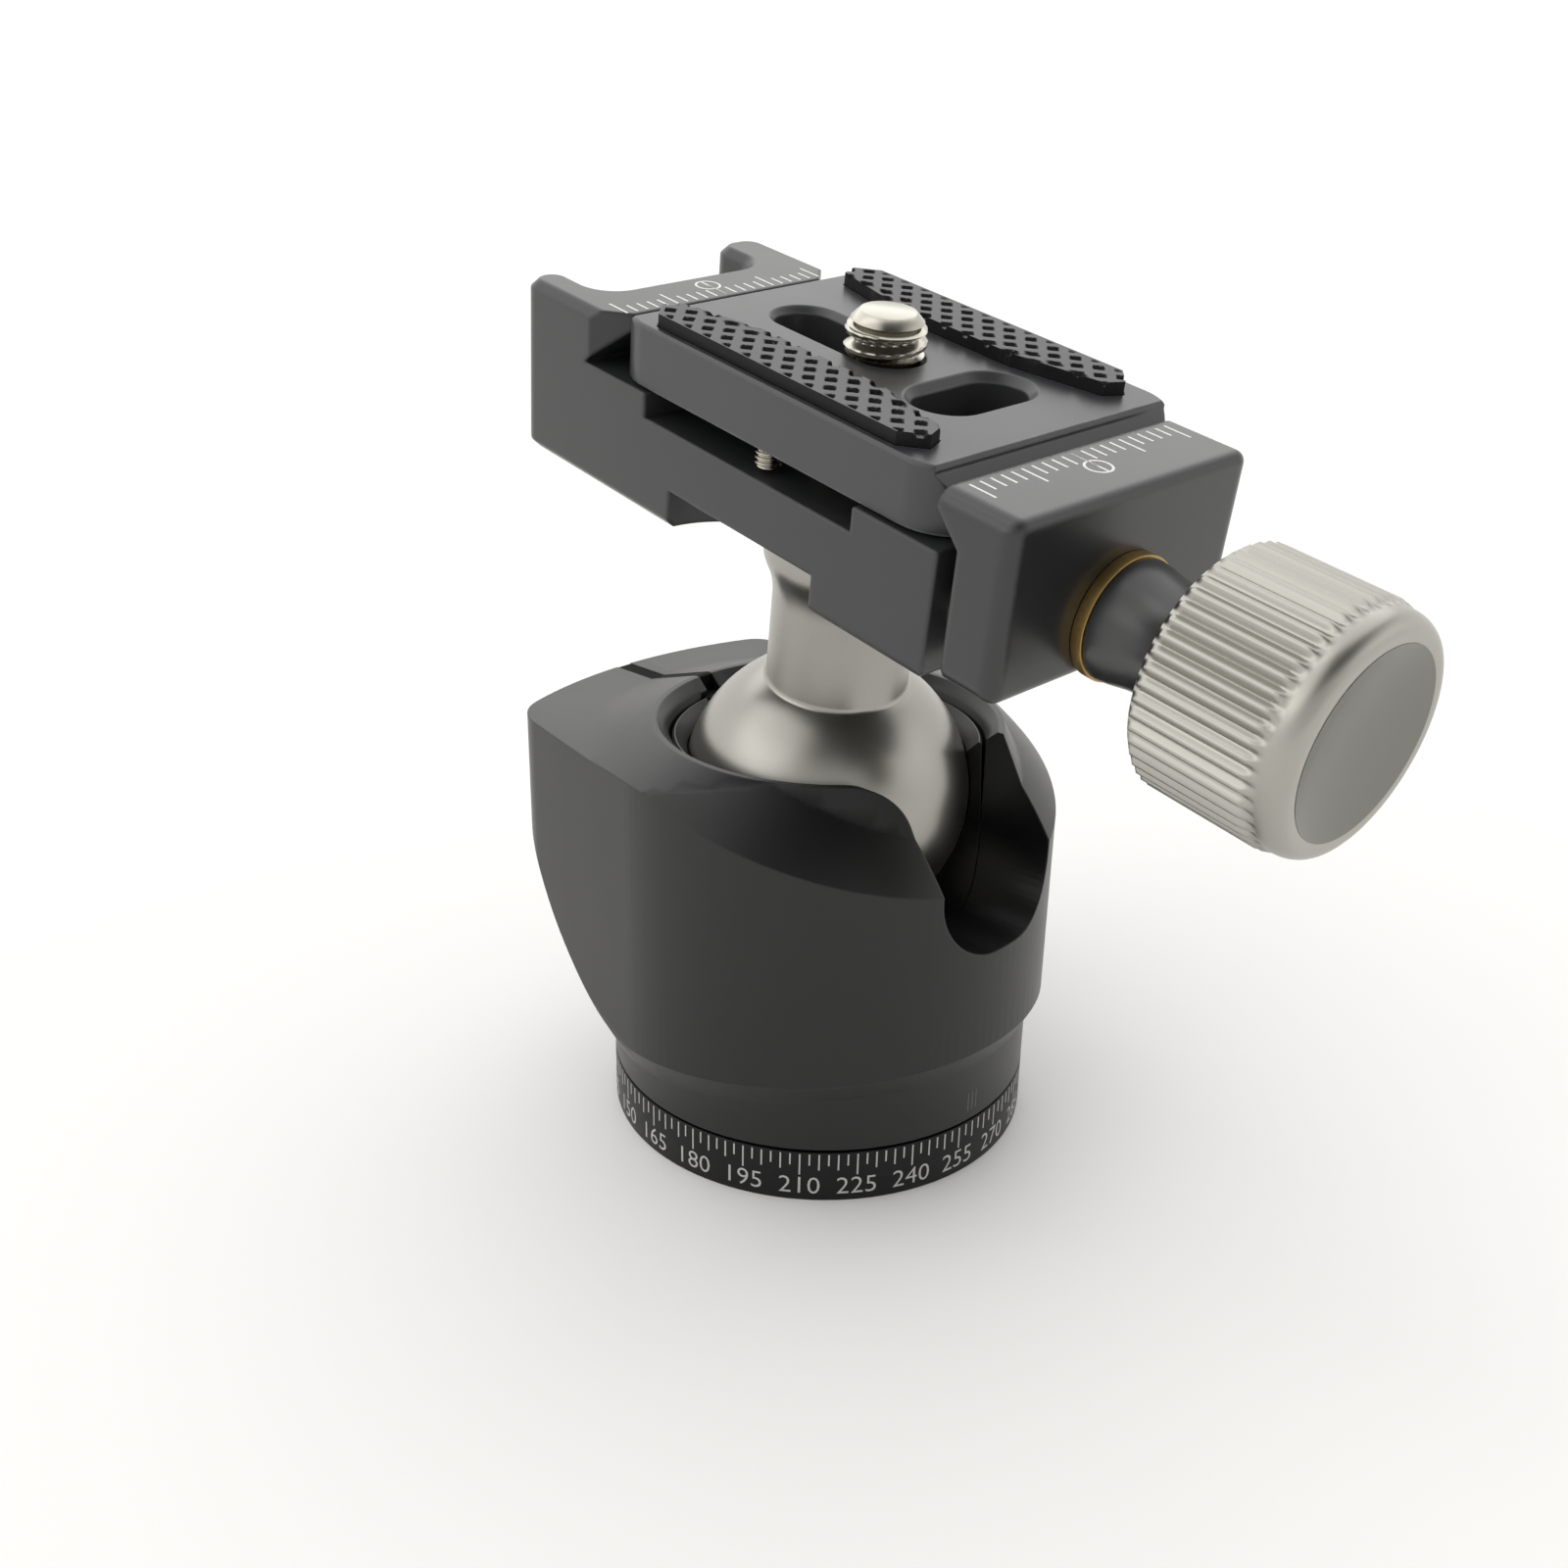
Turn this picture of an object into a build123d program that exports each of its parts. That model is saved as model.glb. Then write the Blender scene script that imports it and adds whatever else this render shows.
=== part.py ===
"""Small tripod ball head: a panning base, a split clamping housing, the ball with its stem, and a
quick-release dovetail clamp that holds a camera plate. Millimetres, +Z up, origin at the centre of
the base's underside. The ball leans a little, as it does in use, so the stem and all that it carries
are drawn in a frame of their own: u across the clamp's jaws, v along the dovetail, w up the stem,
measured from the ball's centre."""
import os
from math import acos, atan2, cos, hypot, radians, sin, sqrt

from build123d import *

# ---------------------------------------------------------------- driving dimensions
ball_r = 12.5               # 25 mm ball
ball_z = 30.3               # height of the ball's centre
stem_r = 6.0
base_r = 18.8               # scale ring and lower body
base_h = 4.8                # height of the scale ring
body_r = 20.1               # wall around the ball
body_top = 36.7             # rim of the socket
bore_r = 13.7               # housing bore that holds the ball's seats

# ---------------------------------------------------------------- clearances
running_gap = 0.05          # shaft in its hole
seat_gap = 0.05             # fixed insert in its pocket
ball_gap = 0.12             # ball in its seats
face_gap = 0.02             # flat faces that turn on each other
pan_gap = 0.3               # housing over the scale ring
clear_gap = 0.3             # pieces that only pass each other
over = 2.0                  # how far a cut runs past what it cuts

# ---------------------------------------------------------------- threads
tripod_thread_r = 4.7625    # 3/8"-16
camera_thread_r = 3.175     # 1/4"-20
clamp_thread_r = 3.0        # M6
lock_thread_r = 2.5         # M5
pan_lock_thread_r = 2.0     # M4
stop_thread_r = 1.0         # M2

# ---------------------------------------------------------------- panning base
base_edge = 0.2
spindle_r = 11.5
web_t = 5.8                 # pan bearing in the housing
insert_r = 6.4
insert_h = 8.6
insert_edge = 0.4
groove_depth = 0.9          # clamping groove round the spindle
groove_half = 1.5
groove_floor_half = 0.7
retainer_t = 1.5
ledge = 0.7                 # ledge that the lower seat stands on
bolt_circle_r = 8.6
bolt_count = 3
bolt_r = 1.25               # M2.5
bolt_head_r = 2.3
bolt_l = 4.6
bolt_hex_r = 0.9
bolt_hex_depth = 0.9
pan_washer_t = 0.26
pan_washer_w = 6.0

# ---------------------------------------------------------------- housing
tail_dir = 140.0            # direction of the clamping ears and of their slit, degrees
notch_dir = -40.0           # direction of the drop notch
flank_out = 3.1             # left ear's corner, past the wall along the tail
flank_side = 14.9
flank_corner_r = 5.0
ear_out = 1.5               # right ear's corner, beside the flat that the lock bears on
ear_side = 15.2
ear_corner_r = 2.5
tail_out = 5.4              # tip of the tail, past the wall
tail_top = 34.9             # top of the ears
under_offset = 1.2          # axis of the underside's taper, moved towards the tail
under_foot_r = 17.3
under_knee_out = 2.3        # knee, bend and end, past the wall
under_knee_z = 15.0
under_bend_out = 5.2
under_bend_z = 22.2
under_end_out = 6.8
under_end_z = 31.5
collar_h = 10.0             # plain cylinder above the scale ring
rim_r = 15.2                # flat rim round the socket
rim_foot_r = 20.9           # where the rim's slope meets the ears
rim_chamfer = 1.0
bevel_offset = 6.0          # axis of the rounded front bevel, moved towards the tail
bevel_end = 11.0            # the bevel stops this far along the tail
bevel_top_in = 7.7          # the bevel's top, bend and foot, in from the wall
bevel_bend_in = 3.5
bevel_bend_z = 32.8
bevel_foot_out = 0.1
bevel_foot_z = 27.8
lip_foot_r = 17.2           # cone below the rim, inside the bevel
lip_foot_z = 32.6
slit_w = 1.6
slit_z = 14.0
notch_w = 14.6
notch_z = 21.9
notch_corner_r = 6.0
notch_round_r = 3.2         # rounded lip of the notch
notch_start = 8.0

# ---------------------------------------------------------------- ball seats and slit seal
seat_bore_r = 5.0
seat_drop = 1.6             # the lower seat ends this far below the notch
liner_top = 35.3
liner_edge = 0.2
liner_mouth_r = 13.1
liner_mouth_z = 34.0
liner_slit_w = 3.0
bulb_w = 2.5                # seal's bulb between the liner's ends
bulb_t = 0.6
seal_recess = 0.25

# ---------------------------------------------------------------- main lock
lock_flat = 0.148           # flat between the lock's washer and the wall
lock_z = 24.0
lock_depth = 11.5           # stud in the far ear
lock_washer_r = 3.9
lock_washer_t = 1.0
lock_hub_r = 4.2
lock_hub_l = 3.3
lock_knob_r = 10.6
lock_knob_l = 9.5
lock_ribs = 44
lock_dish_r = 7.6
lock_dish_depth = 1.3
lock_stud_in = 6.0          # stud inside the knob

# ---------------------------------------------------------------- pan lock
pan_lock_dir = 72.0
shoe_l = 2.0
pan_knob_r = 3.9
pan_knob_out = 0.6          # knob clear of the wall
pan_knob_l = 7.5
pan_ribs = 24
pan_dish_r = 2.4
pan_dish_depth = 0.5
pan_stud_in = 5.0

# ---------------------------------------------------------------- lean of the ball
head_turn = -47.0
head_lean_front = 9.4
head_lean_side = 3.7

# ---------------------------------------------------------------- stem
flange_r = 7.04
flange_flare = 1.7          # height of the flange's cone
flange_t = 2.17
stem_thread_r = 2.5         # M5
stem_thread_end = 12.0

# ---------------------------------------------------------------- clamp base
clamp_w = 24.07             # underside of the clamp
clamp_half_v = 12.2
floor_h = 9.99              # floor of the dovetail above the underside
channel_depth = 1.92        # channel below the plate
channel_half = 12.0
jaw_out_u = -28.9           # ends of the fixed jaw's horns
base_end_u = 20.46
grip_u = 1.45               # middle of the dovetail
lip_rise = 0.85             # lips' lower edge above the plate's blunt edge
lip_t = 1.3
grip_gap = 0.11             # lips beside the plate's flanks
bay_u = -22.5               # finger bay between the horns
bay_v0 = -8.6
bay_v1 = 7.6
bay_corner_r = 2.4
horn_front_r = 1.75
horn_back_r = 1.9
scallop_r = 8.5
scallop_h = 3.2
clamp_edge = 0.7
lead_in = 2.5               # cut-back at the ends of the fixed jaw's lip

# ---------------------------------------------------------------- moving jaw, pins and springs
jaw_gap = 1.64              # jaw in front of the base's end, clamped
jaw_out_r = 1.3
jaw_t = 4.73
jaw_lift = 0.93             # underside of the jaw above the clamp's
jaw_round = 0.8
knob_h = 4.87               # clamp screw above the clamp's underside
pin_r = 1.5
pin_v = 8.6
pin_l = 14.5
pin_wall = 0.8              # jaw wall in front of the pins
spring_v = 4.9
spring_r = 1.3
spring_wire_r = 0.28
spring_depth = 4.0
spring_turns = 4

# ---------------------------------------------------------------- clamp screw and knob
screw_end_u = 9.5           # inner end of the clamp screw
brass_r = 4.8
brass_t = 1.0
neck_r = 4.65
neck_l = 7.5
knob_r = 9.05
knob_l = 12.0
knob_ribs = 50
rib_depth = 0.45
bezel_l = 1.8               # smooth rounded end of a knob
bezel_step = 0.15
bezel_in = 1.3
groove_share = 0.84         # groove between two ribs, of their pitch
knob_edge = 0.5
knob_dish_r = 6.8
knob_dish_depth = 1.3
stud_in = 8.0               # screw inside the knob

# ---------------------------------------------------------------- mount screw
mount_head_r = 4.6
mount_head_t = 1.7
mount_hex_r = 2.3           # 4 mm key
mount_hex_depth = 2.2

# ---------------------------------------------------------------- camera plate
plate_half_u = 19.05        # 38.1 mm dovetail
plate_half_v = 12.5
plate_v = 0.8
plate_lift = 0.19           # underside above the dovetail's floor
plate_t = 4.87
plate_land = 2.1            # blunt edge below the dovetail flank
plate_flank = 2.2           # height of the 45 degree flank
plate_corner_r = 4.5
plate_edge = 0.25
slot_u0 = -8.45             # camera screw slot, centres of its ends
slot_u1 = 0.95
slot_v = 0.9
slot_w = 5.0
slot_edge = 0.5
tool_u = 9.8                # second slot
tool_w = 5.2
tool_l = 10.0
tool_edge = 0.65
recess_gap = 0.3
recess_depth = 1.95
stop_u = 0.8
stop_v = 11.1               # from the plate's middle
stop_out = 1.8
stop_in = 2.2
stop_hex_r = 0.5
stop_hex_depth = 0.9

# ---------------------------------------------------------------- grip strips
strip_h = 1.0               # above the plate
strip_sink = 0.6
strip_u = 0.9               # middle of the strips
strip_half_l = 14.9
strip_ear_l = 14.2
strip_tip_l = 13.2
strip_waist_l = 6.5
strip_out = 11.65           # from the plate's middle
strip_tip = 10.0
strip_ear = 8.4
strip_in = 6.7

# ---------------------------------------------------------------- camera screw
cam_u = 0.5
cam_neck_r = 2.4
cam_top = 3.3               # above the plate
cam_edge = 0.6
cam_head_r = 5.2
cam_head_t = 1.3
cam_hex_r = 1.73            # 3 mm key
cam_hex_depth = 2.5
cam_washer_r = 4.6
cam_washer_t = 0.4

# ---------------------------------------------------------------- sizes that follow
body_floor = base_h + pan_gap
web_top = body_floor + web_t
spindle_top = web_top + face_gap
groove_z = body_floor + web_t / 2
retainer_top = spindle_top + retainer_t
seat_floor = retainer_top + clear_gap
pocket_r = bore_r - ledge
seat_top = notch_z - seat_drop
cup_r = ball_r + ball_gap
wall_out = body_r + over
flank_reach = body_r + flank_out
flank_turn = atan2(flank_side, flank_reach) + acos(body_r / hypot(flank_reach, flank_side))
ear_reach = body_r + ear_out
tail_end = body_r + tail_out
under_knee_r = body_r + under_knee_out
under_bend_r = body_r + under_bend_out
under_end_r = body_r + under_end_out
lock_t = sqrt(body_r ** 2 - ear_side ** 2) + lock_flat + lock_washer_r
dovetail_w = clamp_w + floor_h
channel_w = dovetail_w - channel_depth
plate_w = dovetail_w + plate_lift
lip_w = plate_w + plate_land + lip_rise
jaw_top_w = lip_w + lip_t
jaw_w = clamp_w + jaw_lift
knob_w = clamp_w + knob_h
flange_w = clamp_w - flange_t
flange_foot_w = flange_w - flange_flare
lip_half = plate_half_u - (lip_w - plate_w - plate_land) + grip_gap * sqrt(2)
fixed_lip_u = grip_u - lip_half
moving_lip_u = grip_u + lip_half
jaw_in_u = base_end_u + jaw_gap
jaw_out = jaw_in_u + jaw_t
pin_end = jaw_out - pin_wall
brass_u = jaw_out + face_gap
neck_u = brass_u + brass_t
knob_u = neck_u + neck_l
plate_top = plate_w + plate_t
recess_w = plate_w + recess_depth
cam_head_w = recess_w - cam_washer_t - cam_head_t - 2 * face_gap
stem_top_w = clamp_w - face_gap


# ---------------------------------------------------------------- frames
def polar(angle):
    """Level direction at an angle from +X."""
    return Vector(cos(radians(angle)), sin(radians(angle)), 0)


tail = Plane.XY.rotated((0, 0, tail_dir))                # x along the ears' slit
notch = Plane(origin=(0, 0, 0), x_dir=polar(notch_dir + 90), z_dir=polar(notch_dir))
ear = Plane(origin=tail.from_local_coords((lock_t, 0, lock_z)), x_dir=tail.x_dir, z_dir=-tail.y_dir)
pan_lock = Plane(origin=(0, 0, groove_z), x_dir=(0, 0, 1), z_dir=polar(pan_lock_dir))
head = Plane(Location((0, 0, ball_z)) * Rotation(0, head_lean_side, 0)
             * Rotation(head_lean_front, 0, 0) * Rotation(0, 0, head_turn))
head_section = Plane(origin=head.origin, x_dir=head.x_dir, z_dir=-head.y_dir)      # x is u, y is w


def along_u(v, w):
    """Plane across the clamp's screw and pins: its normal is +u and its x is v."""
    return Plane(origin=head.from_local_coords((0, v, w)), x_dir=head.y_dir, z_dir=head.x_dir)


def up_w(u, v):
    """Plane across the stem's direction at a place on the clamp."""
    return Plane(origin=head.from_local_coords((u, v, 0)), x_dir=head.x_dir, z_dir=head.z_dir)


def side(plane):
    """Section plane through a plane's normal: x is radial, y runs along the normal."""
    return Plane(origin=plane.origin, x_dir=plane.x_dir, z_dir=plane.x_dir.cross(plane.z_dir))


def lathe(plane, *points):
    """Solid turned about a plane's normal, from its (radius, height) outline."""
    with BuildPart() as turned:
        with BuildSketch(side(plane)):
            with BuildLine():
                Polyline(*points, close=True)
            make_face()
        revolve(axis=Axis(plane.origin, plane.z_dir))
    return turned.part


def rod(plane, start, end, radius):
    """Round bar along a plane's normal."""
    with BuildPart() as bar:
        with BuildSketch(plane.offset(start)):
            Circle(radius)
        extrude(amount=end - start)
    return bar.part


def tube(plane, start, end, outer, inner):
    """Plain ring along a plane's normal."""
    with BuildPart() as ring:
        with BuildSketch(plane.offset(start)):
            Circle(outer)
            Circle(inner, mode=Mode.SUBTRACT)
        extrude(amount=end - start)
    return ring.part


def hexagon(plane, start, end, radius):
    """Key recess along a plane's normal."""
    with BuildPart() as recess:
        with BuildSketch(plane.offset(start)):
            RegularPolygon(radius, 6)
        extrude(amount=end - start)
    return recess.part


def knob(plane, start, length, radius, ribs, dish_r, dish_depth, bore, bore_l):
    """Ribbed round knob with a smooth rounded end, a shallow hollow in it and a bore behind."""
    end = start + length
    shoulder = end - bezel_l
    groove = groove_share * radius * sin(radians(180 / ribs))
    bezel_foot = (radius - bezel_step, shoulder)
    bezel_top = (radius - bezel_in, end)
    hollow_r = (dish_r ** 2 + dish_depth ** 2) / (2 * dish_depth)
    hollow_mid = (dish_r / 2, end - dish_depth + hollow_r - sqrt(hollow_r ** 2 - dish_r ** 2 / 4))
    with BuildPart() as turned:
        with BuildSketch(plane.offset(start)):
            Circle(radius)
            with PolarLocations(radius + seat_gap, ribs):
                Polygon((0, -groove), (0, groove), (-rib_depth, 0), align=None, mode=Mode.SUBTRACT)
        extrude(amount=shoulder - start)
        with BuildSketch(side(plane)):
            with BuildLine():
                Line((0, shoulder), bezel_foot)
                Spline(bezel_foot, bezel_top, tangents=((0, 1), (-1, 0)))
                Line(bezel_top, (dish_r, end))
                ThreePointArc((dish_r, end), hollow_mid, (0, end - dish_depth))
                Line((0, end - dish_depth), (0, shoulder))
            make_face()
        revolve(axis=Axis(plane.origin, plane.z_dir))
        add(lathe(plane, (radius - knob_edge - over, start - over), (radius + over, start - over),
                  (radius + over, start + knob_edge + over)), mode=Mode.SUBTRACT)
        with BuildSketch(plane.offset(start)):
            Circle(bore)
        extrude(amount=bore_l, mode=Mode.SUBTRACT)
    return turned.part


# ================================================================ panning base
with BuildPart() as pan_base:
    with BuildSketch(Plane.XY):
        Circle(base_r)
    extrude(amount=base_h)
    chamfer(pan_base.edges().filter_by(GeomType.CIRCLE), base_edge)
    with BuildSketch(Plane.XY.offset(base_h)):
        Circle(spindle_r)
    extrude(amount=spindle_top - base_h)
    add(lathe(Plane.XY, (spindle_r + over, groove_z - groove_half), (spindle_r, groove_z - groove_half),
              (spindle_r - groove_depth, groove_z - groove_floor_half),
              (spindle_r - groove_depth, groove_z + groove_floor_half),
              (spindle_r, groove_z + groove_half), (spindle_r + over, groove_z + groove_half)),
        mode=Mode.SUBTRACT)
    with BuildSketch(Plane.XY):
        Circle(insert_r)
    extrude(amount=insert_h, mode=Mode.SUBTRACT)
    with BuildSketch(Plane.XY.offset(retainer_top - bolt_l - clear_gap)):
        with PolarLocations(bolt_circle_r, bolt_count):
            Circle(bolt_r + seat_gap)
    extrude(amount=bolt_l, mode=Mode.SUBTRACT)

with BuildPart() as tripod_thread_insert:
    with BuildSketch(Plane.XY):
        Circle(insert_r - seat_gap)
        Circle(tripod_thread_r, mode=Mode.SUBTRACT)
    extrude(amount=insert_h - seat_gap)
    chamfer(tripod_thread_insert.edges().group_by(Axis.Z)[0].sort_by(SortBy.RADIUS)[0], insert_edge)

with BuildPart() as pan_friction_washer:
    with BuildSketch(Plane.XY.offset(base_h)):
        Circle(spindle_r + running_gap + pan_washer_w)
        Circle(spindle_r + running_gap, mode=Mode.SUBTRACT)
    extrude(amount=pan_washer_t)

with BuildPart() as pan_retaining_plate:
    with BuildSketch(Plane.XY.offset(spindle_top)):
        Circle(pocket_r - running_gap)
    extrude(amount=retainer_t)
    with Locations((0, 0, retainer_top)):
        with PolarLocations(bolt_circle_r, bolt_count):
            CounterSinkHole(bolt_r + seat_gap, bolt_head_r + seat_gap)

with BuildPart() as pan_retaining_screws:
    with BuildSketch(Plane.XY.offset(retainer_top - bolt_l)):
        with PolarLocations(bolt_circle_r, bolt_count):
            Circle(bolt_r)
    extrude(amount=bolt_l - seat_gap)
    with Locations((0, 0, retainer_top - seat_gap)):
        with PolarLocations(bolt_circle_r, bolt_count):
            Cone(bolt_r, bolt_head_r, bolt_head_r - bolt_r, align=(Align.CENTER, Align.CENTER, Align.MAX))
    with BuildSketch(Plane.XY.offset(retainer_top - bolt_hex_depth)):
        with PolarLocations(bolt_circle_r, bolt_count):
            RegularPolygon(bolt_hex_r, 6)
    extrude(amount=bolt_hex_depth, mode=Mode.SUBTRACT)

# ================================================================ housing
under_axis = Plane(origin=tail.from_local_coords((under_offset, 0, 0)), x_dir=tail.x_dir)
bevel_axis = Plane(origin=tail.from_local_coords((bevel_offset, 0, 0)), x_dir=tail.x_dir)

with BuildPart() as under_limit:                         # all that lies inside the turned underside
    with BuildSketch(side(under_axis)):
        with BuildLine():
            knee = (under_knee_r, under_knee_z)
            shoulder = (under_end_r, under_end_z)
            Polyline((0, body_floor), (under_foot_r, body_floor), knee)
            ThreePointArc(knee, (under_bend_r, under_bend_z), shoulder)
            Polyline(shoulder, (under_end_r, body_top + over), (0, body_top + over), (0, body_floor))
        make_face()
    revolve(axis=Axis(under_axis.origin, under_axis.z_dir))

top_limit = lathe(Plane.XY, (0, 0), (under_end_r + bevel_offset, 0), (under_end_r + bevel_offset, tail_top),
                  (rim_foot_r, tail_top), (rim_r, body_top), (0, body_top))

with BuildPart() as bevel:                               # what the rounded front bevel takes away
    with BuildSketch(side(bevel_axis)):
        with BuildLine():
            wall_r = body_r + bevel_offset
            top_in = (wall_r - bevel_top_in, body_top)
            foot = (wall_r + bevel_foot_out, bevel_foot_z)
            ThreePointArc(top_in, (wall_r - bevel_bend_in, bevel_bend_z), foot)
            Polyline(foot, (wall_r + bevel_offset, bevel_foot_z), (wall_r + bevel_offset, body_top + over),
                     (wall_r - bevel_top_in, body_top + over), top_in)
        make_face()
    revolve(axis=Axis(bevel_axis.origin, bevel_axis.z_dir))
    add(lathe(Plane.XY, (0, 0), (lip_foot_r, 0), (lip_foot_r, lip_foot_z), (rim_r, body_top),
              (rim_r, body_top + 2 * over), (0, body_top + 2 * over)), mode=Mode.SUBTRACT)
    split(bisect_by=Plane(origin=tail.from_local_coords((bevel_end, 0, 0)), z_dir=tail.x_dir),
          keep=Keep.BOTTOM)

with BuildPart() as solid_body:
    with BuildSketch(tail.offset(body_floor)) as outline:
        Circle(body_r)
        with BuildLine():
            flank_foot = (body_r * cos(flank_turn), body_r * sin(flank_turn))       # flank leaves the wall
            Line(flank_foot, (flank_reach, flank_side))
            ThreePointArc((flank_reach, flank_side), (tail_end, 0), (ear_reach, -ear_side))
            Polyline((ear_reach, -ear_side), (0, -ear_side), flank_foot)
        make_face()
        fillet(outline.vertices().sort_by_distance((flank_reach, flank_side))[0], flank_corner_r)
        fillet(outline.vertices().sort_by_distance((ear_reach, -ear_side))[0], ear_corner_r)
    extrude(amount=body_top - body_floor)
    add(under_limit.part, mode=Mode.INTERSECT)
    add(top_limit, mode=Mode.INTERSECT)
    with BuildSketch(Plane.XY.offset(body_floor)):
        Circle(base_r)
    extrude(amount=collar_h)
    add(bevel.part, mode=Mode.SUBTRACT)

with BuildPart() as notch_cut:
    half = notch_w / 2
    lip = body_top - notch_round_r
    lean = notch_round_r * cos(radians(45))
    with BuildSketch(notch.offset(notch_start)) as notch_outline:
        with BuildLine():
            ThreePointArc((-half - notch_round_r, body_top),
                          (-half - notch_round_r + lean, lip + lean), (-half, lip))
            Polyline((-half, lip), (-half, notch_z), (half, notch_z), (half, body_top + over),
                     (-half - notch_round_r, body_top + over), (-half - notch_round_r, body_top))
        make_face()
        fillet(notch_outline.vertices().group_by(Axis.Y)[0], notch_corner_r)
    extrude(amount=wall_out)

with BuildPart() as ball_housing:
    add(solid_body.part)
    add(lathe(Plane.XY, (0, 0), (spindle_r + running_gap, 0), (spindle_r + running_gap, web_top),
              (pocket_r, web_top), (pocket_r, seat_floor), (bore_r, seat_floor),
              (bore_r, body_top - rim_chamfer), (bore_r + rim_chamfer, body_top),
              (bore_r + rim_chamfer, body_top + over), (0, body_top + over)), mode=Mode.SUBTRACT)
    with BuildSketch(tail.offset(slit_z)):
        with Locations((bore_r - rim_chamfer + tail_end / 2, 0)):
            Rectangle(tail_end, slit_w)
    extrude(amount=body_top, mode=Mode.SUBTRACT)
    add(notch_cut.part, mode=Mode.SUBTRACT)
    add(rod(ear, 0, ear_side + over, lock_thread_r + clear_gap), mode=Mode.SUBTRACT)
    add(rod(ear, -lock_depth - clear_gap, 0, lock_thread_r + running_gap), mode=Mode.SUBTRACT)
    add(rod(pan_lock, spindle_r - groove_depth, wall_out, pan_lock_thread_r + running_gap),
        mode=Mode.SUBTRACT)

with BuildPart() as slit_seal:
    with BuildSketch(tail.offset(slit_z + seat_gap)):
        with Locations((bore_r - bulb_t + seat_gap + tail_end / 2, 0)):
            Rectangle(tail_end, slit_w - 2 * seat_gap)
    extrude(amount=body_top)
    add(solid_body.part.moved(Location((0, 0, -seal_recess))), mode=Mode.INTERSECT)
    add(lathe(Plane.XY, (0, 0), (bore_r + seat_gap, 0), (bore_r + seat_gap, seat_top + seat_drop),
              (0, seat_top + seat_drop)), mode=Mode.SUBTRACT)
    add(lathe(Plane.XY, (0, liner_top - seal_recess), (bore_r + rim_chamfer, liner_top - seal_recess),
              (bore_r + rim_chamfer, body_top + over), (0, body_top + over)), mode=Mode.SUBTRACT)
    with BuildSketch(tail.offset(seat_top + seat_drop)):
        with Locations((bore_r - bulb_t / 2 - 2 * seat_gap, 0)):
            Rectangle(bulb_t, bulb_w)
    extrude(amount=liner_top - seal_recess - seat_top - seat_drop)
    add(rod(ear, -slit_w, slit_w, lock_thread_r + clear_gap), mode=Mode.SUBTRACT)


# ================================================================ ball seats
def cup(z):
    """Radius of the ball's cup at a height."""
    return sqrt(cup_r ** 2 - (z - ball_z) ** 2)


with BuildPart() as ball_liner:
    floor_z = seat_top + seat_gap
    with BuildSketch(Plane.XZ):
        with BuildLine():
            Polyline((cup(liner_mouth_z), liner_mouth_z), (liner_mouth_r, liner_top),
                     (bore_r - seat_gap - liner_edge, liner_top),
                     (bore_r - seat_gap, liner_top - liner_edge), (bore_r - seat_gap, floor_z),
                     (cup(floor_z), floor_z))
            ThreePointArc((cup(floor_z), floor_z), (cup_r, ball_z), (cup(liner_mouth_z), liner_mouth_z))
        make_face()
    revolve(axis=Axis.Z)
    add(notch_cut.part, mode=Mode.SUBTRACT)
    with BuildSketch(tail.offset(seat_top)):
        with Locations((bore_r, 0)):
            Rectangle(bore_r, liner_slit_w)
    extrude(amount=body_top - seat_top, mode=Mode.SUBTRACT)

with BuildPart() as ball_seat:
    bore_z = ball_z - sqrt(cup_r ** 2 - seat_bore_r ** 2)
    bend_r = (seat_bore_r + cup(seat_top)) / 2
    with BuildSketch(Plane.XZ):
        with BuildLine():
            Polyline((seat_bore_r, bore_z), (seat_bore_r, seat_floor), (bore_r - seat_gap, seat_floor),
                     (bore_r - seat_gap, seat_top), (cup(seat_top), seat_top))
            ThreePointArc((cup(seat_top), seat_top),
                          (bend_r, ball_z - sqrt(cup_r ** 2 - bend_r ** 2)), (seat_bore_r, bore_z))
        make_face()
    revolve(axis=Axis.Z)

# ================================================================ main lock
ear_washer = ear_side + face_gap
ear_hub = ear_washer + lock_washer_t + face_gap
ear_knob = ear_hub + lock_hub_l

with BuildPart() as main_thrust_washer:
    add(tube(ear, ear_washer, ear_washer + lock_washer_t, lock_washer_r, lock_thread_r + running_gap))

with BuildPart() as main_lock_screw:
    add(rod(ear, -lock_depth, ear_knob + lock_stud_in, lock_thread_r))

with BuildPart() as main_knob:
    add(knob(ear, ear_knob, lock_knob_l, lock_knob_r, lock_ribs, lock_dish_r, lock_dish_depth,
             lock_thread_r + seat_gap, lock_stud_in + seat_gap))
    add(tube(ear, ear_hub, ear_knob, lock_hub_r, lock_thread_r + seat_gap))

# ================================================================ pan lock
shoe_start = spindle_r - groove_depth + face_gap
shoe_end = shoe_start + shoe_l
pan_knob_start = body_r + pan_knob_out

with BuildPart() as pan_lock_shoe:
    add(lathe(pan_lock, (0, shoe_start), (groove_floor_half - seat_gap, shoe_start),
              (groove_half, shoe_start + groove_depth),
              (pan_lock_thread_r - seat_gap, shoe_start + groove_depth),
              (pan_lock_thread_r - seat_gap, shoe_end), (0, shoe_end)))

with BuildPart() as pan_lock_screw:
    add(rod(pan_lock, shoe_end + face_gap, pan_knob_start + pan_stud_in, pan_lock_thread_r))

with BuildPart() as pan_lock_knob:
    add(knob(pan_lock, pan_knob_start, pan_knob_l, pan_knob_r, pan_ribs, pan_dish_r, pan_dish_depth,
             pan_lock_thread_r + seat_gap, pan_stud_in + seat_gap))

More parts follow.
